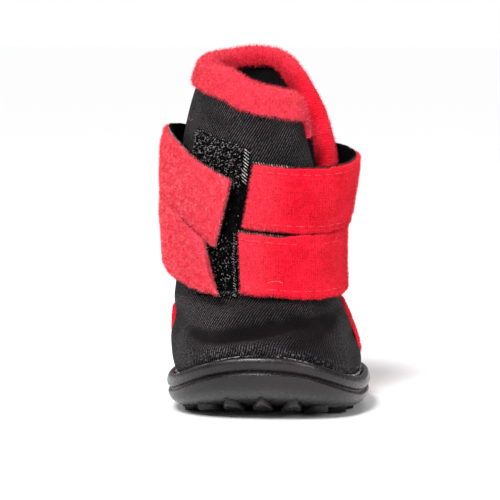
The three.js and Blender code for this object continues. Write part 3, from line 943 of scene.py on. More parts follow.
# The dark red of the painted shade in the pile's pits, the pile's own deep and bright reds, and the paler
# pink of raised pile, partly painted light.
PIT_SHADE_RED = colour(0.32, 0.001, 0.008)
DEEP_RED = colour(0.82, 0.004, 0.022)
BRIGHT_RED = colour(0.96, 0.012, 0.04)
BRUSHED_LIT_RED = colour(0.98, 0.07, 0.12)
STRAP_RED = red_pile("red strap pile", STRAP_COLUMN, STRAP_COURSE)
BINDING_RED = red_pile("red binding pile", BINDING_RIB, BINDING_COURSE)
NAP_ROOT = colour(0.76, 0.004, 0.022)
STRAP_NAP = nap_material("red strap nap", NAP_ROOT, colour(1.0, 0.085, 0.125), colour(1.0, 0.3, 0.37))
# The binding's nap colours are a darker copy of the strap's: painted shade.
BINDING_ROOT = colour(0.62, 0.003, 0.018)
BINDING_TIP = colour(0.98, 0.062, 0.105)
BINDING_NAP = nap_material("red binding nap", BINDING_ROOT, BINDING_TIP, colour(0.98, 0.25, 0.32))
BLACK_TWILL = twill_material()
BLACK_PLUSH = lining_material()
STRAP_BACK = webbing_material()
RUBBER = rubber_material()
HOOKS = hook_material("black hooks", grey(0.01), colour(0.52, 0.5, 0.51), 0.4, 0.2, 0.6)
HOOK_TAPE = hook_material("black hook tape", grey(0.001), grey(0.005), 0.9, 0.03, 0.4)
PALE_THREAD = thread_material("pale overlock thread", colour(0.14, 0.135, 0.135), colour(0.75, 0.73, 0.73))
GREY_THREAD = thread_material("grey selvedge thread", colour(0.006, 0.005, 0.006), colour(0.12, 0.11, 0.11))
WHITE_TICKS = thread_material("pale selvedge thread", colour(0.05, 0.045, 0.045), colour(0.7, 0.66, 0.65))
END_THREAD = thread_material("frayed end thread", colour(0.02, 0.018, 0.02), colour(0.4, 0.37, 0.37))
RED_THREAD = thread_material("red thread", colour(0.8, 0.006, 0.03), colour(1.0, 0.09, 0.13))
LINT = thread_material("pale lint", colour(1.0, 0.3, 0.33), colour(1.0, 0.62, 0.6))
CEMENT = hook_material("sole cement", colour(0.02, 0.018, 0.018), colour(0.42, 0.4, 0.39), 0.35, 0.3, 0.8)
INSOLE_CLOTH = foam_material()


# Geometry Nodes

def pile_tree():
    """Stands fine closed hairs all over a piece, as thickly as its nap mask says."""
    graph, given, result = new_tree(
        "stand nap", "GeometryNodeTree",
        {"Geometry": "geometry", "Density": "float", "Length": "float", "Thickness": "float",
         "Tilt": "float", "Pitch": "float", "Course": "float", "Parting": "float", "Seed": "int",
         "Material": "material"},
        {"Geometry": "geometry"},
    )
    density = graph.times(graph.named("nap"), given["Density"])
    points = graph.add(
        "GeometryNodeDistributePointsOnFaces",
        {"Mesh": given["Geometry"], "Density": density, "Seed": given["Seed"]},
    ).outputs
    uv = graph.named("UVMap", "FLOAT_VECTOR")
    column, _, pit = pile_relief(graph, uv, given["Pitch"], given["Course"])
    lifted_and_lit = graph.named("brushed")
    parting = graph.times(given["Parting"], graph.minus(1.0, lifted_and_lit))
    bare = graph.times(parting, graph.minus(1.0, column))
    kept = graph.minus(1.0, bare)
    dropped = graph.add(
        "FunctionNodeCompare", {0: graph.chance(0.0, 1.0, 19), 1: kept},
        data_type="FLOAT", operation="GREATER_THAN",
    ).outputs[0]
    combed = graph.add(
        "GeometryNodeDeleteGeometry", {"Geometry": points["Points"], "Selection": dropped}, domain="POINT"
    ).outputs[0]
    marked = graph.add(
        "GeometryNodeStoreNamedAttribute", {"Geometry": combed, "Name": "pit", "Value": pit},
        data_type="FLOAT", domain="POINT",
    ).outputs[0]
    radius = graph.times(given["Thickness"], 0.5)
    hair = graph.add(
        "GeometryNodeMeshCone",
        {"Vertices": 3, "Side Segments": 1, "Radius Top": 0.0, "Radius Bottom": radius,
         "Depth": given["Length"]},
        fill_type="NGON",
    ).outputs["Mesh"]
    most = graph.times(given["Tilt"], graph.scaled(lifted_and_lit, 0.45, 0.55))
    least = graph.times(most, -1.0)
    lowest = graph.vector(least, least, -math.pi)
    highest = graph.vector(most, most, math.pi)
    rotation = graph.turned(points["Rotation"], lowest, highest, 7)
    stretch = graph.scaled(lifted_and_lit, 0.5, 0.8)
    taller = graph.times(graph.chance(0.5, 1.1, 11), stretch)
    hairs = graph.add(
        "GeometryNodeInstanceOnPoints",
        {"Points": marked, "Instance": hair, "Rotation": rotation, "Scale": taller},
    ).outputs[0]
    coat = graph.finished(hairs, given["Material"])
    graph.feed(graph.joined(coat, given["Geometry"]), result["Geometry"])
    return graph.tree


def stitch_tree():
    """Lays stitches end to end along a path of edges, each turned a little from the path."""
    graph, given, result = new_tree(
        "lay stitches", "GeometryNodeTree",
        {"Geometry": "geometry", "Pitch": "float", "Length": "float", "Thickness": "float",
         "Slant": "float", "Material": "material"},
        {"Geometry": "geometry"},
    )
    path = graph.add("GeometryNodeMeshToCurve", {0: given["Geometry"]}).outputs[0]
    spaced = graph.add(
        "GeometryNodeResampleCurve", {"Curve": path, "Length": given["Pitch"]}, mode="LENGTH"
    ).outputs[0]
    ball = graph.add("GeometryNodeMeshIcoSphere", {"Radius": 0.5, "Subdivisions": 2}).outputs["Mesh"]
    size = graph.vector(given["Thickness"], given["Thickness"], given["Length"])
    stitch = graph.add("GeometryNodeTransform", {"Geometry": ball, "Scale": size}).outputs[0]
    tangent = graph.add("GeometryNodeInputTangent").outputs[0]
    outwards = graph.named("outwards", "FLOAT_VECTOR")
    leaning = graph.add(
        "ShaderNodeVectorRotate",
        {"Vector": tangent, "Axis": outwards, "Angle": given["Slant"]},
        rotation_type="AXIS_ANGLE",
    ).outputs[0]
    rotation = graph.add("FunctionNodeAlignRotationToVector", {"Vector": leaning}, axis="Z").outputs[0]
    laid = graph.add(
        "GeometryNodeInstanceOnPoints",
        {"Points": spaced, "Instance": stitch, "Rotation": rotation, "Scale": graph.chance(0.8, 1.1, 3)},
    ).outputs[0]
    graph.feed(graph.finished(laid, given["Material"]), result["Geometry"])
    return graph.tree


def hook_tree():
    """Plants bent hooks on a piece, as thickly as its nap mask says."""
    graph, given, result = new_tree(
        "plant hooks", "GeometryNodeTree",
        {"Geometry": "geometry", "Spacing": "float", "Density": "float", "Height": "float",
         "Thickness": "float", "Seed": "int", "Material": "material"},
        {"Geometry": "geometry"},
    )
    points = graph.add(
        "GeometryNodeDistributePointsOnFaces",
        {"Mesh": given["Geometry"], "Distance Min": given["Spacing"], "Density Max": given["Density"],
         "Density Factor": graph.named("nap"), "Seed": given["Seed"]},
        distribute_method="POISSON",
    ).outputs
    bend, peak, tip = (graph.times(given["Height"], share) for share in (0.75, 1.25, 0.45))
    crook = graph.vector(bend, 0.0, given["Height"])
    top = graph.vector(0.0, 0.0, peak)
    end = graph.vector(bend, 0.0, tip)
    shape = graph.add(
        "GeometryNodeCurvePrimitiveBezierSegment",
        {"Resolution": 4, "Start": (0, 0, 0), "Start Handle": top, "End Handle": crook, "End": end},
    ).outputs[0]
    radius = graph.times(given["Thickness"], 0.5)
    section = graph.add(
        "GeometryNodeCurvePrimitiveCircle", {"Resolution": 3, "Radius": radius}
    ).outputs["Curve"]
    hook = graph.add(
        "GeometryNodeCurveToMesh", {"Curve": shape, "Profile Curve": section, "Fill Caps": True}
    ).outputs[0]
    rotation = graph.turned(points["Rotation"], (-0.35, -0.35, -math.pi), (0.35, 0.35, math.pi), 5)
    hooks = graph.add(
        "GeometryNodeInstanceOnPoints", {"Points": points["Points"], "Instance": hook, "Rotation": rotation}
    ).outputs[0]
    crop = graph.finished(hooks, given["Material"])
    graph.feed(graph.joined(crop, given["Geometry"]), result["Geometry"])
    return graph.tree


NAP_TREE = pile_tree()
STITCH_TREE = stitch_tree()
HOOK_TREE = hook_tree()


def apply_tree(piece, tree, **values):
    """Runs a Geometry Nodes tree on a piece and keeps the result as its plain mesh."""
    modifier = piece.modifiers.new("tree", "NODES")
    modifier.node_group = tree
    for item in tree.interface.items_tree:
        if item.in_out == "INPUT" and item.name in values:
            modifier[item.identifier] = values[item.name]
    mesh = final_mesh(piece)
    piece.modifiers.clear()
    piece.data = mesh
    return piece


def stand_nap(piece, hairs, pitch, course, seed, material):
    """Fine hairs all over a piece of pile, combed into its columns."""
    return apply_tree(
        piece, NAP_TREE, Density=hairs["per_mm2"] / MM ** 2, Length=hairs["length"] * MM,
        Thickness=hairs["thickness"] * MM, Tilt=HAIR_TILT, Pitch=pitch, Course=course,
        Parting=hairs["parting"], Seed=seed, Material=material,
    )


def sew(name, points, outwards, material, pitch, length, thickness, slant):
    """A row of stitches along a path of points in millimetres."""
    mesh = bpy.data.meshes.new(name)
    edges = [(i, i + 1) for i in range(len(points) - 1)]
    mesh.from_pydata((np.asarray(points) * MM).tolist(), edges, [])
    attribute = mesh.attributes.new("outwards", "FLOAT_VECTOR", "POINT")
    attribute.data.foreach_set("vector", np.asarray(outwards, np.float32).ravel())
    piece = place_object(name, mesh)
    apply_tree(
        piece, STITCH_TREE, Pitch=pitch * MM, Length=length * MM, Thickness=thickness * MM,
        Slant=slant, Material=material,
    )
    piece.data.shade_smooth()
    return piece


def join(name, pieces):
    """Makes one piece of several."""
    with bpy.context.temp_override(active_object=pieces[0], selected_editable_objects=pieces):
        bpy.ops.object.join()
    pieces[0].name = name
    return pieces[0]


def keep(piece, slot, *nodes):
    """Rides a finished piece on the boot, and hides the plain solids it stands for."""
    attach(piece, BODY)
    if nodes:
        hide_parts(*nodes)


# The upper

def arc_tables():
    """Running lengths over the upper's outside, up to each angle and row, as the cloth lies."""
    angles = np.arange(-180, 181, 3.0)
    rows = np.arange(0, TOP_ROW + 0.01, 0.25)
    grid = upper_point(angles[:, None], rows[None, :], False)
    across = lengths_along(grid, 0)
    across -= across[len(angles) // 2]
    up = lengths_along(grid, 1)
    return angles, rows, across, up


ARC_ANGLES, ARC_ROWS, ARC_ACROSS, ARC_UP = arc_tables()


def cloth_place(degrees, row):
    """Where a point of the upper lies on its flat cloth, in millimetres from the front and from the sole."""
    a = np.clip((degrees - ARC_ANGLES[0]) / (ARC_ANGLES[1] - ARC_ANGLES[0]), 0, len(ARC_ANGLES) - 1.001)
    r = np.clip((row - ARC_ROWS[0]) / (ARC_ROWS[1] - ARC_ROWS[0]), 0, len(ARC_ROWS) - 1.001)
    i, j = a.astype(int), r.astype(int)
    s, t = a - i, r - j

    def blend(values):
        near = values[i, j] * (1 - t) + values[i, j + 1] * t
        far = values[i + 1, j] * (1 - t) + values[i + 1, j + 1] * t
        return near * (1 - s) + far * s

    return np.stack([blend(ARC_ACROSS), blend(ARC_UP)], -1)


def make_upper():
    """The upper's wall: twill outside, plush inside, with its folds."""
    steps = 330
    last = row_count(TOP_EDGE) - 1
    place = np.linspace(0, last, steps + 1)
    angle = read(TOP_EDGE, "angle", place)
    height = read(TOP_EDGE, "height", place)
    rim = row_at_height(angle, height)
    even_up_to = 6
    low_rows = np.concatenate([np.linspace(0, 1.2, 4), np.linspace(1.35, even_up_to, 30)])
    shares = np.linspace(0, 1, 25)[1:]
    high_rows = even_up_to + (rim[:, None] - even_up_to) * shares
    rows = np.concatenate([np.broadcast_to(low_rows, (steps + 1, len(low_rows))), high_rows], 1)
    columns = np.broadcast_to(angle[:, None], rows.shape)
    z = upper_point(columns, rows)[..., 2]
    # The cloth lies flat in the cup and under the binding, and folds only between them.
    free = ramp(rows, 1.3, 2.2) * ramp(rim[:, None] - rows, 0, 0.6)
    out = -fold_depth(columns, z) * free
    outside = upper_at_row(columns, rows, out)
    inside = upper_at_row(columns, rows, out - WALL)[:, ::-1]
    edge_soft = 0.35
    rim_rise = [0, 0, 0.12]
    rims = [
        upper_at_row(columns[:, -1:], rows[:, -1:], np.array([[depth]])) + rim_rise
        for depth in (-edge_soft, -WALL + edge_soft)
    ]
    loops = np.concatenate([outside, *rims, inside], 1)

    def flat(turned):
        face = cloth_place(turned, rows)
        return np.concatenate([face, face[:, -1:], face[:, -1:], face[:, ::-1], face[:, :1]], 1)

    left, right = flat(np.maximum(columns, -180)), flat(np.minimum(columns + 360, 180))
    on_left = (angle[:-1] + angle[1:]) / 2 > -180
    uv = np.where(on_left[:, None, None, None], spans_of(left), spans_of(right))
    uv = np.concatenate([uv, np.stack([right[-1], left[0]])[None]])
    kinds = np.zeros(loops.shape[1], int)
    kinds[rows.shape[1] + 1:] = 1
    # Painted shade dims the ribs' painted highlights on the toe's slit side and inside the folds.
    shaded = hump(columns, 32, 24) * hump(z, 21, 6.5) + ramp(fold_depth(columns, z), 0.1, 0.6)
    worn = np.zeros(loops.shape[:2])
    worn[:, :rows.shape[1]] = np.minimum(shaded, 1)
    piece = sweep(
        "upper_cloth", loops, uv, [BLACK_TWILL, BLACK_PLUSH], closed=True, kinds=kinds, sharp=60, worn=worn
    )
    points = vertex_points(piece)
    lip_height = LUG_HEIGHT + CRUMB_RISE + spring(points[:, 1])
    set_mask(piece, "near_lip", 1 - ramp(points[:, 2] - lip_height, 0.3, 4.2))
    return piece


# The cup sole

def make_plate(name, material, inset, rise, lowest, steps, rings):
    """A closed plate in the sole's outline. inset and rise follow its edge from underneath to its top, and
    rings of faces fill it in from the edge to the middle, at its lowest underneath."""
    degrees = np.arange(steps) * 360 / steps
    ring = sole_inset(degrees[:, None], inset[None, :])
    under = ring[:, :1] * np.linspace(0, 1, rings + 1)[None, :-1, None]
    top = ring[:, -1:] * np.linspace(1, 0, rings + 1)[None, 1:, None]
    flat = np.concatenate([under, ring, top], 1)
    rises = np.concatenate([np.full(rings, lowest), rise, np.full(rings, rise[-1])])
    loops = np.concatenate([flat, (rises + spring(flat[..., 1]))[..., None]], 2)
    grid = np.concatenate([flat, flat[:, :1]], 1)
    grid = np.concatenate([grid, grid[:1]], 0)
    return sweep(name, loops, spans_of(grid), [material], closed=True, sharp=50)


def make_sole_cup():
    """The rubber cup: underside, shoulder, ridge, groove and lip, and its floor inside."""
    side = np.linspace(0, row_count(SOLE_SIDE) - 1, 61)
    rise = read(SOLE_SIDE, "rise", side) + LUG_HEIGHT
    return make_plate("sole_cup", RUBBER, read(SOLE_SIDE, "inset", side), rise, rise[0], 200, 13)


def make_insole():
    """The foam plate inside, with a rounded top edge."""
    bottom = LUG_HEIGHT + SOLE_FLOOR + GAP
    inset = np.array([6.0, 6.0, 6.15, 6.6, 7.4])
    rise = bottom + np.array([0.1, 1.5, 1.95, 2.15, 2.2])
    return make_plate("insole_pad", INSOLE_CLOTH, inset, rise, bottom, 120, 11)


def lug_loops(outline, levels):
    """A tread lug's loops from its outline, through levels of size and rise."""
    middle = outline.mean(0)
    loops = []
    for size, rise in zip(*levels.values()):
        flat = middle + (outline - middle) * size
        loops.append(np.concatenate([flat, (rise + spring(flat[:, 1]))[:, None]], 1))
    return np.array(loops)


def petal_outline(direction, start, end, half_width, point):
    """A leaf with a round foot, full sides and a drawn-out tip."""
    along = np.array([0, 0.06, 0.2, 0.36, 0.52, 0.68, 0.82, 0.93, 1])
    wide = np.array([0.34, 0.66, 0.94, 1, 0.92, 0.7, 0.42, 0.17, 0])
    reach = sole_reach(direction)
    foot = reach * (start if point > 0 else end)
    length = reach * (end - start)
    angle = math.radians(direction)
    axis = np.array([math.sin(angle), -math.cos(angle)])
    across = np.array([axis[1], -axis[0]])
    middle = axis * foot + np.outer(along * point * length, axis)
    side = np.outer(wide * half_width, across)
    return np.concatenate([middle + side, (middle - side)[-2::-1]])


def make_tread():
    """The rosette of petals round a bare disc with a raised rim."""
    pieces = []
    for count, start, end, half_width, point, turn in zip(*PETAL_RINGS.values()):
        for i in range(int(count)):
            direction = (i + turn) / count * 360
            outline = petal_outline(direction, start, end, half_width, point)
            pieces.append(lug_loops(outline, PETAL_LEVELS))
    circle = np.radians(np.arange(36) * 10)
    disc = DISC_RADIUS * np.stack([np.cos(circle), np.sin(circle)], 1)
    pieces.append(lug_loops(disc, DISC_LEVELS))
    lugs = []
    for n, loops in enumerate(pieces):
        grid = np.concatenate([loops[..., :2], loops[:, :1, :2]], 1)
        lugs.append(sweep(f"lug_{n}", loops, spans_of(grid), [RUBBER], sharp=35))
    return join("sole_tread", lugs)


def bead_loops(centre, sizes, sideways, sides):
    """Round loops about a line of points, each of its own size, standing upright."""
    section = np.radians(np.arange(sides) * 360 / sides)
    upwards = np.array([0, 0, 1.0])
    return centre[:, None] + sizes[:, None, None] * (
        np.cos(section)[None, :, None] * sideways[:, None] + np.sin(section)[None, :, None] * upwards
    )


def make_cement_edge():
    """The broken pale line that the cement left on the cloth, a little above the lip at the toe."""
    steps = 260
    degrees = np.linspace(-34, 34, steps)
    lip = sole_inset(degrees, np.full(steps, 2.3))
    wander = 0.25 * np.cos(np.radians(degrees * 5))
    height = LUG_HEIGHT + LIP_RISE + spring(lip[:, 1]) + CEMENT_LINE_RISE + wander
    run = lengths_along(lip, 0)
    size = 0.13 * ramp(np.abs(degrees), 4, 9) * ramp(np.abs(degrees), 31, 22)
    size = size * (0.75 + 0.45 * ripple(run, run * 0.4, 23, 1.2)) + 0.05 * ripple(run, run, 27, 2.5)
    row = row_at_height(degrees, height)
    centre = upper_at_row(degrees, row, 0.02)
    loops = bead_loops(centre, np.clip(size, 0.005, 0.2), upper_normal(degrees, row), 6)
    return sweep("cement_edge", loops, run_uv(loops), [CEMENT], sharp=80)


def make_cement():
    """The thin, uneven bead of cement that shows between the lip and the cloth."""
    steps = 420
    degrees = np.arange(steps) * 360 / steps
    flat = sole_inset(degrees, np.full(steps, 2.45))
    run = lengths_along(flat, 0)
    size = np.clip(0.3 + 0.3 * ripple(run, run * 0.3, 21, 3.5), 0.06, 0.6)
    centre = np.concatenate([flat, (LUG_HEIGHT + BEAD_RISE + spring(flat[:, 1]))[:, None]], 1)
    inwards = -flat / np.linalg.norm(flat, axis=1, keepdims=True)
    loops = bead_loops(centre, size, np.concatenate([inwards, np.zeros((steps, 1))], 1), 8)
    grid = np.stack(np.broadcast_arrays(np.append(run, run[-1] + 1)[:, None], np.arange(9.0)[None, :]), -1)
    return sweep("cement_bead", loops, spans_of(grid), [CEMENT], closed=True, sharp=80)


# The collar's binding

def make_binding():
    """Padded pile cloth folded over the upper's edge: a round roll, with an outer and an inner leg."""
    steps = 900
    face = GAP + BINDING_CLOTH
    back = -WALL - face
    roll_radius = (face - back) / 2
    roll_middle = roll_radius - face
    place = np.linspace(BINDING_START_ROW, BINDING_END_ROW, steps + 1)
    angle, height, turn, drop = (read(TOP_EDGE, column, place) for column in TOP_EDGE)
    reach = np.linalg.norm(upper_at(angle + turn, height - drop, 0.0) - upper_at(angle, height, 0.0), axis=-1)
    # One leg's face, from its hem to the roll, as shares of the leg and of the cloth's thickness.
    leg_share = np.array([1, 1.005, 0.985, 0.93, 0.82, 0.68, 0.54, 0.42])
    leg_face = np.array([0.0, 0.45, 0.78, 0.95, 1.03, 1.06, 1.05, 1.02])
    bend = np.radians(np.linspace(8, 172, 15))
    depth = np.concatenate([
        reach[:, None] * leg_share,
        np.minimum(roll_middle, reach / 3)[:, None] - roll_radius * np.sin(bend),
        reach[:, None] * leg_share[::-1] * INNER_LEG,
        np.full((steps + 1, 2), -GAP),
    ], 1)
    out = np.concatenate([
        GAP * 0.5 + (face - GAP * 0.5) * leg_face,
        -WALL / 2 + roll_radius * np.cos(bend),
        (-WALL - GAP * 0.5 + (back + WALL + GAP * 0.5) * leg_face)[::-1],
        [-WALL - GAP * 0.5, GAP * 0.5],
    ])
    out = np.broadcast_to(out, depth.shape).copy()
    run = lengths_along(upper_at(angle, height, 0.0))
    waver = 0.25 * ripple(run[:, None], depth, 9, 3.0)
    ribs = 0.05 * np.cos(2 * math.pi * (run[:, None] / BINDING_RIB + waver))
    swell = 0.18 * ripple(run[:, None], depth * 1.3, 3, 7.0) + ribs
    leg, roll = len(leg_share), len(bend)
    facing = np.concatenate([np.ones(leg), np.cos(bend), -np.ones(leg), [0, 0]])
    climbing = np.concatenate([np.zeros(leg), np.sin(bend), np.zeros(leg + 2)])
    at_hem = np.concatenate([np.ones(3), np.zeros(2 * leg + roll - 6), np.ones(3), [0, 0]])
    out += swell * facing
    ragged = 0.25 * ripple(run[:, None], 0 * depth, 5, 5.0) + 0.2 * ripple(run[:, None], 0 * depth, 6, 1.3)
    depth = depth - swell * climbing + ragged * at_hem
    share = depth / reach[:, None]
    loops = upper_at(angle[:, None] + turn[:, None] * share, height[:, None] - drop[:, None] * share, out)
    showing = np.concatenate([np.ones(2 * leg + roll), [0, 0]])
    # Round the section, from the outer hem over the roll to the inner hem: how far the pile is raised and
    # painted as lit, and how much painted shade it gets, most on the inner leg inside the collar and a little
    # near the end.
    outer_share = np.concatenate([np.ones(14), np.linspace(1, 0.35, 10), np.full(9, 0.35)])
    lifted_and_lit = (0.75 - 0.7 * ramp(place, 14, 16.5))[:, None] * outer_share
    inner_leg = np.concatenate([np.zeros(20), np.linspace(0.1, 0.9, 11), [1, 1]])
    worn = np.broadcast_to(inner_leg, depth.shape) + 0.3 * ramp(place, 16, 19)[:, None]
    return sweep(
        "collar_binding_pile", loops, run_uv(loops), [BINDING_RED], sharp=80, nap=showing, brushed=lifted_and_lit,
        worn=worn,
    )


# Straps

def strap_frame(run, start_lean, end_lean, steps):
    """For each place along a strap: its angle, height, stand and flare, and how far its ends lean."""
    place = np.linspace(0, row_count(run) - 1, steps + 1)
    along = np.linspace(0, 1, steps + 1)
    lean = start_lean * ramp(along, LEAN_FADE, 0) + end_lean * ramp(along, 1 - LEAN_FADE, 1)
    return *(read(run, column, place) for column in run), lean


def strap_layer(name, frame_of_run, low, high, inner, outer, edge, crown, material, trim=0.0, seed=1):
    """One layer of a strap. low and high bound its width from the centre line, inner and outer its depth from
    the strap's own back, edge is how far its edges are rounded, and crown how far its face swells. trim is
    cut off its loose end."""
    angle, middle, stand, flare, lean = frame_of_run
    low, high = (np.broadcast_to(bound, angle.shape)[:, None] for bound in (low, high))
    rim = edge * np.array([0.0, 0.0, 0.35, 1.0]) + [0.02, 0.0, 0.0, 0.0]
    between_rims = low + edge + (high - low - 2 * edge) * np.linspace(0, 1, 15)[1:-1]
    across = np.concatenate([low + rim, between_rims, high - rim[::-1]], 1)
    rounding = np.concatenate([[0.25, 0.5, 0.88, 1], np.ones(13), [1, 0.88, 0.5, 0.25]])
    share = (across - low) / (high - low) * 2 - 1
    seams = hump(across, low + SEAM_MARGIN, 0.35) + hump(across, high - SEAM_MARGIN, 0.35)
    sewn_in = 0.32 * (crown > 0) * seams
    face = inner + (outer - inner) * rounding + crown * (1 - share ** 4) - sewn_in
    section_across = np.concatenate([across, across[:, ::-1]], 1)
    section_out = np.concatenate([face, np.full(face.shape, inner)], 1)
    run_length = lengths_along(upper_at(angle, middle, stand, False))
    side = 3 * np.sign(section_across)
    wander = 0.14 * ripple(run_length[:, None], side, seed, 4.0)
    wander = wander + 0.15 * ripple(run_length[:, None], side, seed, 1.1)
    at_edge = np.abs(np.concatenate([share, share[:, ::-1]], 1)) > 0.97
    # The edges waver, the lower one more near the loose end.
    near_end = ramp(run_length, run_length[-1] - 9, run_length[-1] - 2)[:, None]
    frayed = 2.4 * near_end * (section_across < 0)
    heights = middle[:, None] + section_across + wander * at_edge * (1 + frayed)
    turns = angle[:, None] + lean[:, None] * (section_across / (STRAP_WIDTH / 2))
    swell = 0.16 * ripple(run_length[:, None], section_across, seed + 40, 6.0)
    front = np.repeat([1.0, 0.0], across.shape[1])
    standing = stand[:, None] + flare[:, None] * section_across / (STRAP_WIDTH / 2)
    out = standing + section_out + swell * front * (crown > 0)
    loops = upper_at(turns, heights, out, False)
    kept = slice(0, np.searchsorted(run_length, run_length[-1] - trim) + 1)
    lengths = run_length[kept]
    grid_across = np.concatenate([section_across, section_across[:, :1]], 1)[kept]
    grid = np.stack(np.broadcast_arrays(lengths[:, None], grid_across), -1)
    # The pile is raised and painted as lit on the tail and a little at the start, and its pits get more
    # painted shade in front.
    tail = ramp(lengths, lengths[-1] - 42, lengths[-1] - 20)
    lifted_and_lit = np.maximum(tail, 0.5 * ramp(lengths, 12, 2))[:, None]
    worn = hump(turns, 40, 15) * hump(section_across, -1.5, 4)
    tufts = front * (1 + 1.4 * hump(section_across, low, 0.8))
    return sweep(
        name, loops[kept], spans_of(grid), [material], sharp=50,
        nap=tufts[kept], brushed=lifted_and_lit, worn=worn[kept],
    )


def strap_line(frame_of_run, across, out, start=0.0, end=0.0):
    """A path along a strap, with the direction outwards at each point."""
    angle, middle, stand, flare, lean = frame_of_run
    share = across / (STRAP_WIDTH / 2)
    points, outwards = line_on_shaft(angle + lean * share, middle + across, stand + flare * share + out)
    run = lengths_along(points)
    kept = (run >= start) & (run <= run[-1] - end)
    return points[kept], outwards[kept]


def make_strap(name, node, run, start_lean, end_lean, red_over, seed):
    """A strap: a black woven back, red pile on its face, its seams and the selvedge's pale threads. The back
    shows as a black selvedge along the top, which the pile covers by red_over away from the ends."""
    half = STRAP_WIDTH / 2
    places = strap_frame(run, start_lean, end_lean, 290)
    away_from_ends = ramp(places[0], 14, 42) * (1 - 0.35 * ramp(places[0], 298, 322))
    selvedge = SELVEDGE - red_over * away_from_ends
    overhang = 0.35 * away_from_ends
    back = strap_layer(
        f"{name}_back", places, -half + 0.5, half, 0.0, STRAP_BACK_THICKNESS, 0.3, 0.0, STRAP_BACK, seed=seed,
    )
    pile = strap_layer(
        f"{name}_pile", places, -half - overhang, half - selvedge, STRAP_BACK_THICKNESS + 0.02,
        STRAP_THICKNESS, 0.5, 0.22, STRAP_RED, trim=LOOSE_END, seed=seed + 1,
    )
    stand_nap(pile, STRAP_HAIRS, STRAP_COLUMN, STRAP_COURSE, seed, STRAP_NAP)
    stitches = []
    for n, across in enumerate((-half + SEAM_MARGIN, half - SELVEDGE - SEAM_MARGIN)):
        points, outwards = strap_line(places, across, STRAP_THICKNESS - 0.04, 1.0, 2.0)
        stitches.append(sew(f"{name}_seam_{n}", points, outwards, RED_THREAD, **STRAIGHT_SEAM))
    # Along the selvedge the threads are pale at the start, grey round the back and frayed on the tail.
    points, outwards = strap_line(places, half - 0.28, STRAP_BACK_THICKNESS + 0.08)
    for part, kept, thread in (
        ("ticks", slice(0, 26), WHITE_TICKS),
        ("selvedge", slice(25, 206), GREY_THREAD),
        ("tail", slice(205, None), END_THREAD),
    ):
        stitches.append(sew(f"{name}_{part}", points[kept], outwards[kept], thread, **SELVEDGE_STITCH))
    angle, middle, stand, flare, lean = (values[-1] for values in places)
    across = np.linspace(-half, half, 30)
    turns = angle + lean * across / half
    standing = stand + flare * across / half
    points, outwards = line_on_shaft(turns - 1.1, middle + across, standing + 0.8, 0.8)
    stitches.append(sew(f"{name}_end", points, outwards, END_THREAD, **END_STITCH))
    keep(back, "black_cloth", node)
    keep(pile, "red_pile", node)
    keep(join(f"{name}_threads", stitches), "red_pile")


# The hook patch

def across_rows(first, last, shares):
    """For each row, values from its first to its last, at shares of the way."""
    return first[:, None] + (last - first)[:, None] * shares


def make_patch():
    """Tape with hundreds of hooks, overlocked down its right side, and stitched at its foot and its head."""
    steps = 60
    place = np.linspace(0, row_count(HOOK_PATCH) - 1, steps + 1)
    left, left_height, right, right_height = (read(HOOK_PATCH, column, place) for column in HOOK_PATCH)
    inner, outer = 0.45, 1.0
    share = np.concatenate([[0.0, 0.0], np.linspace(0, 1, 24), [1.0, 1.0]])
    depth = np.concatenate([[0.0, 0.6], np.ones(24), [0.6, 0.0]])
    shares = np.concatenate([share, share[::-1]])
    out = np.concatenate([inner + (outer - inner) * depth, np.full(len(share), inner)])
    turns = across_rows(left, right, shares)
    levels = across_rows(left_height, right_height, shares)
    loops = upper_at(turns, levels, np.broadcast_to(out, turns.shape), False)
    heights = loops[..., 2]
    width = np.linalg.norm(loops[:, 0] - loops[:, len(share) - 1], axis=-1)[:, None]
    # Hooks stand thickly above the straps and not under the overlocking, and thinly below the straps.
    crowd = ramp(heights, 57.5, 60.5) * ((1 - shares) * width > OVERLOCK_WIDTH)
    crowd = np.maximum(crowd, 0.5 * ramp(heights, 49, 45) * ramp(shares, 0.25, 0.5))
    crowd = np.maximum(crowd, 0.05) * np.repeat([1.0, 0.0], len(share))
    tape = sweep("hook_patch_tape", loops, run_uv(loops), [HOOK_TAPE], sharp=50, nap=crowd)
    apply_tree(
        tape, HOOK_TREE, Spacing=HOOKS_PLANTED["spacing"] * MM, Density=HOOKS_PLANTED["per_mm2"] / MM ** 2,
        Height=HOOKS_PLANTED["height"] * MM, Thickness=HOOKS_PLANTED["thickness"] * MM,
        Seed=4, Material=HOOKS,
    )
    side, outwards = line_on_shaft(right - 2.1, right_height, 1.06)
    neat = slice(1, 15)
    thin = slice(38, steps + 1)
    rows = [
        sew("patch_side", side[neat], outwards[neat], PALE_THREAD, **OVERLOCK_STITCH),
        sew("patch_side_thin", side[thin], outwards[thin], END_THREAD, **THIN_OVERLOCK_STITCH),
    ]
    along = np.linspace(0, 1, 24)
    for part, end, inset in (("foot", -1, 0.7), ("head", 0, -0.7)):
        line = left[end] + (right[end] - left[end]) * along
        level = left_height[end] + (right_height[end] - left_height[end]) * along + inset
        rows.append(sew(f"patch_{part}", *line_on_shaft(line, level, 1.1), GREY_THREAD, **TAPE_STITCH))
    keep(tape, "hook_nylon", "hook_patch")
    keep(join("hook_patch_overlock", rows), "hook_nylon")


# The heel panel

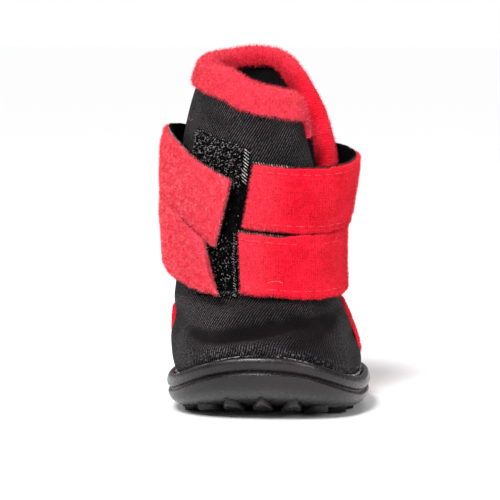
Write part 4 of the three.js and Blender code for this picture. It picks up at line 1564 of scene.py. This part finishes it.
def make_heel_panel():
    """A padded red panel round the heel, sewn down near its edges."""
    steps = 150
    place = np.linspace(0, row_count(HEEL_PANEL) - 1, steps + 1)
    angle, bottom, top = (read(HEEL_PANEL, column, place) for column in HEEL_PANEL)
    share = np.concatenate([[0.0, 0.0, 0.01, 0.035], np.linspace(0.06, 0.94, 15), [0.965, 0.99, 1.0, 1.0]])
    depth = np.concatenate([[0.0, 0.45, 0.75, 0.95], np.ones(15), [0.95, 0.75, 0.45, 0.0]])
    seams = hump(share, 0.1, 0.02) + hump(share, 0.9, 0.02)
    face = 0.2 + 1.75 * depth + 0.15 * np.sin(np.pi * share) - 0.3 * seams
    # The panel thins out at its ends, and more slowly at the far one.
    step = np.arange(steps + 1)
    ends = ramp(np.minimum(step, step[::-1]), -1, 3) * (0.3 + 0.7 * ramp(step[::-1], 2, 22))
    shares = np.concatenate([share, share[::-1]])
    out = np.concatenate([face[None, :] * ends[:, None], np.full((steps + 1, len(face)), 0.15)], 1)
    heights = across_rows(bottom, top, shares)
    loops = upper_at(np.broadcast_to(angle[:, None], heights.shape), heights, np.maximum(out, 0.15), False)
    front = np.concatenate([np.ones(len(face)), np.zeros(len(face))])
    piece = sweep("heel_panel_pile", loops, run_uv(loops), [STRAP_RED], sharp=50, nap=front)
    stand_nap(piece, PANEL_HAIRS, STRAP_COLUMN, STRAP_COURSE, 12, STRAP_NAP)
    rows = []
    sewn = slice(20, -20)
    for n, at in enumerate((0.1, 0.9)):
        points, outwards = line_on_shaft(angle, bottom + (top - bottom) * at, 1.7)
        rows.append(sew(f"heel_seam_{n}", points[sewn], outwards[sewn], RED_THREAD, **STRAIGHT_SEAM))
    keep(piece, "red_pile", "heel_panel")
    keep(join("heel_panel_threads", rows), "red_pile")


# Lint. Each fibre starts at an angle, a height and a distance off the shaft.

LINT_SPOTS = [
    (-66, 63, 4.6), (-60, 62, 4.5), (-56, 60, 4.5), (-63, 60, 4.5), (-50, 54, 4.4), (-28, 56, 4.6),
    (-70, 44, 5.8), (-60, 77.5, 0.3), (10, 61.5, 2.8), (14, 59.6, 2.8), (12, 33.5, 3.0),
]


def make_lint():
    """A few pale stray fibres lying on the straps and the collar."""
    random = np.random.default_rng(31)
    curve = bpy.data.curves.new("lint", "CURVE")
    curve.dimensions = "3D"
    curve.bevel_depth = 0.028 * MM
    curve.bevel_resolution = 0
    curve.use_fill_caps = True
    for degrees, height, out in LINT_SPOTS:
        heading = random.uniform(0, 2 * math.pi)
        bend = random.uniform(-0.55, 0.55)
        points = []
        for _ in range(9):
            points.append(upper_at(degrees, height, out, False) * MM)
            heading += bend + random.normal(0, 0.25)
            degrees += math.cos(heading) * 1.3
            height += math.sin(heading) * 0.45
        spline = curve.splines.new("POLY")
        spline.points.add(len(points) - 1)
        for target, point in zip(spline.points, points):
            target.co = (*point, 1)
    holder = place_object("lint_curve", curve)
    mesh = final_mesh(holder)
    bpy.data.objects.remove(holder)
    mesh.materials.clear()
    mesh.materials.append(LINT)
    return place_object("lint", mesh)


# The studio. Directions are an azimuth and an elevation in degrees, and distances are in metres.

CAMERA_AIM = (-0.0054, -0.0005, 0.0419)
CAMERA_FROM = (5, 5)
CAMERA_DISTANCE = 0.65
LENS = 173
WINDOW_FROM = (-16, 47)
WINDOW_ANGLE = 18
WINDOW_STRENGTH = 3.3
LAMP_AIM = (0, 0, 0.05)
FLOOR_HALF = 30.0
FLOOR_DROP = 0.0002
SOFTBOXES = table(
    "azimuth elevation distance size watts",
    (-45, 35, 0.8, 0.12, 1.0),
    (54, 24, 0.9, 0.4, 2.4),
    (165, 50, 0.9, 0.4, 1.8),
    (-110, 30, 0.9, 0.2, 1.0),
)


def make_studio():
    """A pale floor, soft lights and the camera."""
    scene = bpy.context.scene
    floor_mesh = bpy.data.meshes.new("floor")
    corners = [(x * FLOOR_HALF, y * FLOOR_HALF, -FLOOR_DROP) for x, y in ((-1, -1), (1, -1), (1, 1), (-1, 1))]
    floor_mesh.from_pydata(corners, [], [(0, 1, 2, 3)])
    floor = place_object("floor", floor_mesh)
    material, _, shader = new_material("pale floor", Roughness=0.85, Specular_IOR_Level=0.1)
    shader["Base Color"].default_value = colour(0.99, 0.99, 0.99)
    floor_mesh.materials.append(material)

    world = bpy.data.worlds.new("studio")
    scene.world = world
    world.use_nodes = True
    graph = Graph(world.node_tree)
    seen = graph.add("ShaderNodeLightPath").outputs["Is Camera Ray"]
    white, room = colour(1.0, 1.0, 1.0), colour(0.26, 0.26, 0.27)
    graph.feed(graph.mix(seen, room, white), world.node_tree.nodes["Background"].inputs["Color"])

    aim = Vector(LAMP_AIM)
    sun_data = bpy.data.lights.new("window", "SUN")
    sun_data.energy = WINDOW_STRENGTH
    sun_data.angle = math.radians(WINDOW_ANGLE)
    sun = place_object("window", sun_data)
    sun.rotation_euler = (-away(*WINDOW_FROM)).to_track_quat("-Z", "Y").to_euler()
    for n, (azimuth, elevation, distance, size, watts) in enumerate(zip(*SOFTBOXES.values())):
        data = bpy.data.lights.new(f"softbox_{n}", "AREA")
        data.energy = watts
        data.shape = "SQUARE"
        data.size = size
        lamp = place_object(f"softbox_{n}", data)
        lamp.location = aim + away(azimuth, elevation) * distance
        lamp.rotation_euler = (aim - lamp.location).to_track_quat("-Z", "Y").to_euler()

    camera_data = bpy.data.cameras.new("camera")
    camera = place_object("camera", camera_data)
    camera_data.lens = LENS
    camera_data.sensor_width = 36
    camera_data.clip_start = 0.05
    target = Vector(CAMERA_AIM)
    camera.location = target + away(*CAMERA_FROM) * CAMERA_DISTANCE
    camera.rotation_euler = (target - camera.location).to_track_quat("-Z", "Y").to_euler()
    scene.camera = camera
    scene.view_settings.view_transform = "Standard"


def away(azimuth, elevation):
    """The direction from the boot towards a point seen at an azimuth and elevation in degrees."""
    turn, climb = math.radians(azimuth), math.radians(elevation)
    return Vector((math.sin(turn) * math.cos(climb), -math.cos(turn) * math.cos(climb), math.sin(climb)))


# Assembly

make_studio()
keep(make_sole_cup(), "rubber", "outsole")
keep(make_tread(), "rubber", "outsole")
keep(make_cement(), "rubber")
keep(make_cement_edge(), "rubber")
keep(make_insole(), "foam", "insole")
keep(make_upper(), "black_cloth", "upper")
binding = make_binding()
stand_nap(binding, BINDING_HAIRS, BINDING_RIB, BINDING_COURSE, 2, BINDING_NAP)
keep(binding, "red_pile", "collar_binding")
make_strap("upper_strap", "strap_upper", UPPER_STRAP, 3.2, 5, 0.1, 60)
make_strap("lower_strap", "strap_lower", LOWER_STRAP, -1, -5, 1.0, 80)
make_patch()
make_heel_panel()
keep(make_lint(), "red_pile")
